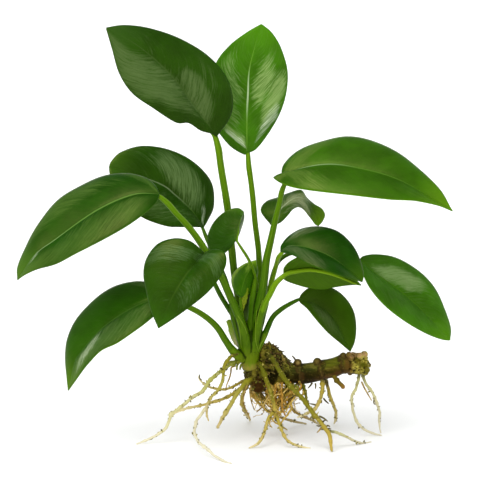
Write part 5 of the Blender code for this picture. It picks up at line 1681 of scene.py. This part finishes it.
# %% Side roots
SIDE_ROOT_STEP = 0.7
SIDE_ROOT_SIDES = 10
SIDE_ROOTS = {
    "dark": {
        "routes": [
            [(33.5, 11.5, -18), (32.3, 10.6, -18.2), (31.2, 10.9, -18.2)],
            [(36, 8.7, -20.5), (37.2, 9.8, -20.8), (38.4, 10.2, -21)],
            [(35.8, 7.5, -21), (34.4, 6.9, -21.2), (33.2, 7.4, -21.4)],
            [(37.4, 6.2, -22.3), (36.2, 5.2, -22.5), (35.4, 5.3, -22.6)],
            [(38.3, 5, -22.6), (39.6, 5.8, -22.8), (40.6, 5.4, -23)],
            [(22.8, 39.8, 4.5), (22, 41, 4.4), (21, 42, 4.5)],
            [(31.4, 28.4, 4), (30.2, 26.8, 3.5), (29, 25.5, 3)],
            [(32.8, 28.2, 4), (33, 26.8, 3.6), (32.8, 25.2, 3.5)],
            [(38, 30, 4), (38.9, 27.7, 4), (38.5, 25.6, 4)],
            [(36.8, 20.7, 1.8), (38.2, 19, 1.5), (39.6, 17.8, 1.5)],
            [(33, 17.2, -1), (31.5, 17.6, -1.5), (30, 17.9, -2)],
            [(31.2, 13.4, -16.5), (31.2, 11.5, -16.5), (31.8, 9.5, -16)],
            [(34.5, 12, -20), (37, 10.8, -20.5), (38.9, 9.3, -20.5)],
            [(38.2, 7.2, -22.5), (39.2, 7.2, -22.6), (40, 6.6, -22.8)],
            [(23.6, 22.6, -11.5), (22, 22, -11), (20.6, 20.6, -10.5)],
            [(62.6, 19.8, 8), (62.2, 18.6, 8), (62.6, 17.3, 8)],
            [(-24.2, 29.4, 1), (-25.4, 30.8, 1), (-25.2, 32.6, 1)],
            [(-14, 35.5, -9), (-14.6, 36, -9.4), (-15.2, 35.4, -9.6)],
        ],
        "radius": 0.52,
    },
    "green": {
        "routes": [
            [(-4.6, 40.6, -2.5), (-6.8, 38.6, -3), (-8.4, 36.4, -3)],
            [(-4.8, 39.4, -3), (-6.4, 37.2, -3.5), (-6.6, 34.6, -3.5)],
            [(-4, 38.2, -3), (-4.8, 36.4, -3.5), (-5, 34.8, -3.5)],
            [(-5.4, 40, -2), (-8.2, 38.2, -2), (-10.4, 37.8, -2)],
            [(22.5, 27.6, -7), (23.8, 26, -7.5), (23.6, 24, -7.5)],
            [(14.5, 36, -4), (15, 33.6, -4.5), (14.4, 32, -4.5)],
        ],
        "radius": 0.75,
    },
    "tan": {
        "routes": [
            [(-7, 37, -1), (-9.3, 36, -1.5), (-9.6, 33.5, -2), (-10.4, 30.5, -2.5), (-11.6, 27.5, -3),
             (-12.2, 24.5, -3.5)],
            [(56, 29, 5), (57.2, 26.2, 5), (59, 23, 5), (61.2, 19.2, 5.2)],
            [(11, 23.5, -6), (8.5, 20, -6.5), (6.2, 16.5, -6.5), (3.2, 13.6, -6)],
            [(35.6, 6.2, -21), (34.8, 5, -21), (33.4, 3.5, -21)],
            [(-1, 29, -5), (-2.6, 24, -5), (-3.4, 20, -5), (-2.8, 17, -5), (-1.4, 13.5, -5),
             (0.4, 9.6, -6)],
            [(1, 28, 2), (0.2, 23.5, 1), (0.6, 19.5, 0.5), (2.2, 14.5, 0)],
        ],
        "radius": 0.5,
    },
}
SIDE_ROOT_SKINS = {
    "dark": plain_skin("side_root_dark", (52, 46, 16), (102, 90, 36)),
    "green": plain_skin("side_root_green", (74, 84, 8), (142, 142, 42)),
    "tan": plain_skin("side_root_tan", (124, 98, 40), (184, 156, 88)),
}
for kind, group in SIDE_ROOTS.items():
    work = new_sheet()
    radius = group["radius"]
    for route in group["routes"]:
        points = stretch(smooth_route([seen(*point) for point in route]), SIDE_ROOT_STEP)
        tube = tapered([lifted(point, radius) for point in points], (radius * 2, radius))
        roll(work, tube, SIDE_ROOT_SIDES, root_shape)
    as_piece(work, f"side_roots_{kind}", [SIDE_ROOT_SKINS[kind]], slot="root_tan")
print({kind: len(group["routes"]) for kind, group in SIDE_ROOTS.items()}, "side roots")

# %% [markdown]
# ## The tangle under the rhizome
#
# Below the rhizome fine rootlets make a net. Each one starts under the rhizome and wanders: at every step
# it turns a little at random, falls a little, and is pulled back towards the middle of the net. On the
# floor it creeps on.

# %% Wandering strands
TANGLE_MIDDLE = seen(14, 17, 3)
TANGLE_STEP = 1.4
TANGLE_PULL = 0.022
TANGLE_TURN = 0.6
STRAND_SIDES = 8
KNOTS_PER_STRAND = 4
TANGLE = {
    "thick_pale": {
        "strands": 18, "radii": (0.5, 0.85), "steps": (12, 22),
        "skin": ((166, 136, 40), (214, 182, 92)),
    },
    "thick_orange": {
        "strands": 13, "radii": (0.45, 0.75), "steps": (10, 18),
        "skin": ((148, 104, 24), (196, 150, 60)),
    },
    "fine_olive": {
        "strands": 22, "radii": (0.2, 0.4), "steps": (8, 20),
        "skin": ((90, 82, 16), (142, 126, 42)),
    },
    "fine_pale": {
        "strands": 34, "radii": (0.18, 0.38), "steps": (8, 22),
        "skin": ((180, 148, 58), (230, 202, 120)),
    },
}


def wandering(rng, start, radius, steps):
    """The points of a strand that wanders down and stays near the middle of the net."""
    points = [start]
    heading = Vector((rng.uniform(-0.8, 0.8), rng.uniform(-0.5, 0.5), -1)).normalized()
    for _ in range(steps):
        pull = (TANGLE_MIDDLE - points[-1]) * TANGLE_PULL
        heading = (heading + any_way(rng) * TANGLE_TURN + pull).normalized()
        points.append(lifted(points[-1] + heading * TANGLE_STEP, radius))
    return points


# %% Make the tangle
rng = Random(23)
knots = new_sheet()
for kind, group in TANGLE.items():
    work = new_sheet()
    for _ in range(group["strands"]):
        start = seen(rng.uniform(0, 27), rng.uniform(25, 30), rng.uniform(-2, 8))
        radius = rng.uniform(*group["radii"])
        route = smooth_route(wandering(rng, start, radius, rng.randrange(*group["steps"])), 2)
        tube = tapered([lifted(point, radius) for point in route], (radius * 2.2, radius * 1.1))
        roll(work, tube, STRAND_SIDES, root_shape)
        for _ in range(KNOTS_PER_STRAND):
            place, _ = surface_spot(tube, rng)
            add_crumb(knots, rng, place, rng.uniform(0.15, 0.4))
    as_piece(work, f"tangle_{kind}", [plain_skin(f"strand_{kind}", *group["skin"])], slot="root_tan")
as_piece(knots, "tangle_knots", [plain_skin("knot_brown", (92, 66, 22), (168, 130, 64))], slot="root_tan")
print(sum(group["strands"] for group in TANGLE.values()), "strands under the rhizome")

# %% [markdown]
# ## Old fibres
#
# Where leaves have rotted off, their bases leave brown fibres and flakes, which cover the slope beside the
# crown and the underside of the rhizome near it.

# %% Make the fibres
REMAINS = {
    "old_leaf_bases": {"fibres": 230, "lengths": (0.8, 3.0), "flakes": 280},
    "cut_shoot": {"fibres": 40, "lengths": (0.4, 1.4), "flakes": 60},
    "neck": {"fibres": 50, "lengths": (0.5, 1.8), "flakes": 70},
    "crook": {"fibres": 90, "lengths": (0.8, 2.6), "flakes": 140},
    "end_callus": {"fibres": 90, "lengths": (0.4, 1.2), "flakes": 90},
}
REMAINS_ON_NECK = 220
NECK_END = 22
DOWN_THE_SLOPE = Vector((0.62, -0.25, -0.6))
REMAIN_SKINS = {
    "brown": plain_skin("remains_brown", (46, 30, 10), (98, 74, 28)),
    "olive": plain_skin("remains_olive", (66, 64, 10), (126, 124, 32)),
    "tan": plain_skin("remains_tan", (108, 92, 32), (168, 146, 70)),
}
KINDS = ("brown", "olive", "brown", "tan", "olive", "olive")

rng = Random(37)
fibres = {kind: new_sheet() for kind in REMAIN_SKINS}
flakes = {kind: new_sheet() for kind in REMAIN_SKINS}
for lump_name, remains in REMAINS.items():
    lump = drawn(RHIZOME_LUMPS[lump_name], RHIZOME_STEP)
    for number in range(remains["fibres"]):
        base, out = surface_spot(lump, rng)
        heading = out * 0.1 + any_way(rng) * 0.35 + DOWN_THE_SLOPE * rng.choice((1, 1, 1, -0.7))
        length = rng.uniform(*remains["lengths"])
        sheet = fibres[KINDS[number % len(KINDS)]]
        add_hair(sheet, rng, base, heading.normalized(), length, rng.uniform(0.28, 0.6), 0.6)
    for number in range(remains["flakes"]):
        base, out = surface_spot(lump, rng)
        add_crumb(flakes[KINDS[number % len(KINDS)]], rng, base + out * 0.2, rng.uniform(0.25, 0.7))
neck = [point for point in body if point.x < seen(NECK_END, 0, 0).x]
for number in range(REMAINS_ON_NECK):
    kind = KINDS[number % len(KINDS)]
    base, out = surface_spot(neck, rng)
    heading = (out + any_way(rng) * 0.8).normalized()
    add_hair(fibres[kind], rng, base, heading, rng.uniform(0.5, 1.8), rng.uniform(0.12, 0.26), 0.5)
    add_crumb(flakes[kind], rng, base, rng.uniform(0.2, 0.6))
print({kind: len(work.faces) for kind, work in fibres.items()}, "faces of fibres")
for kind, skin in REMAIN_SKINS.items():
    as_piece(fibres[kind], f"old_fibres_{kind}", [skin], slot="rhizome")
    as_piece(flakes[kind], f"old_flakes_{kind}", [skin], slot="rhizome")
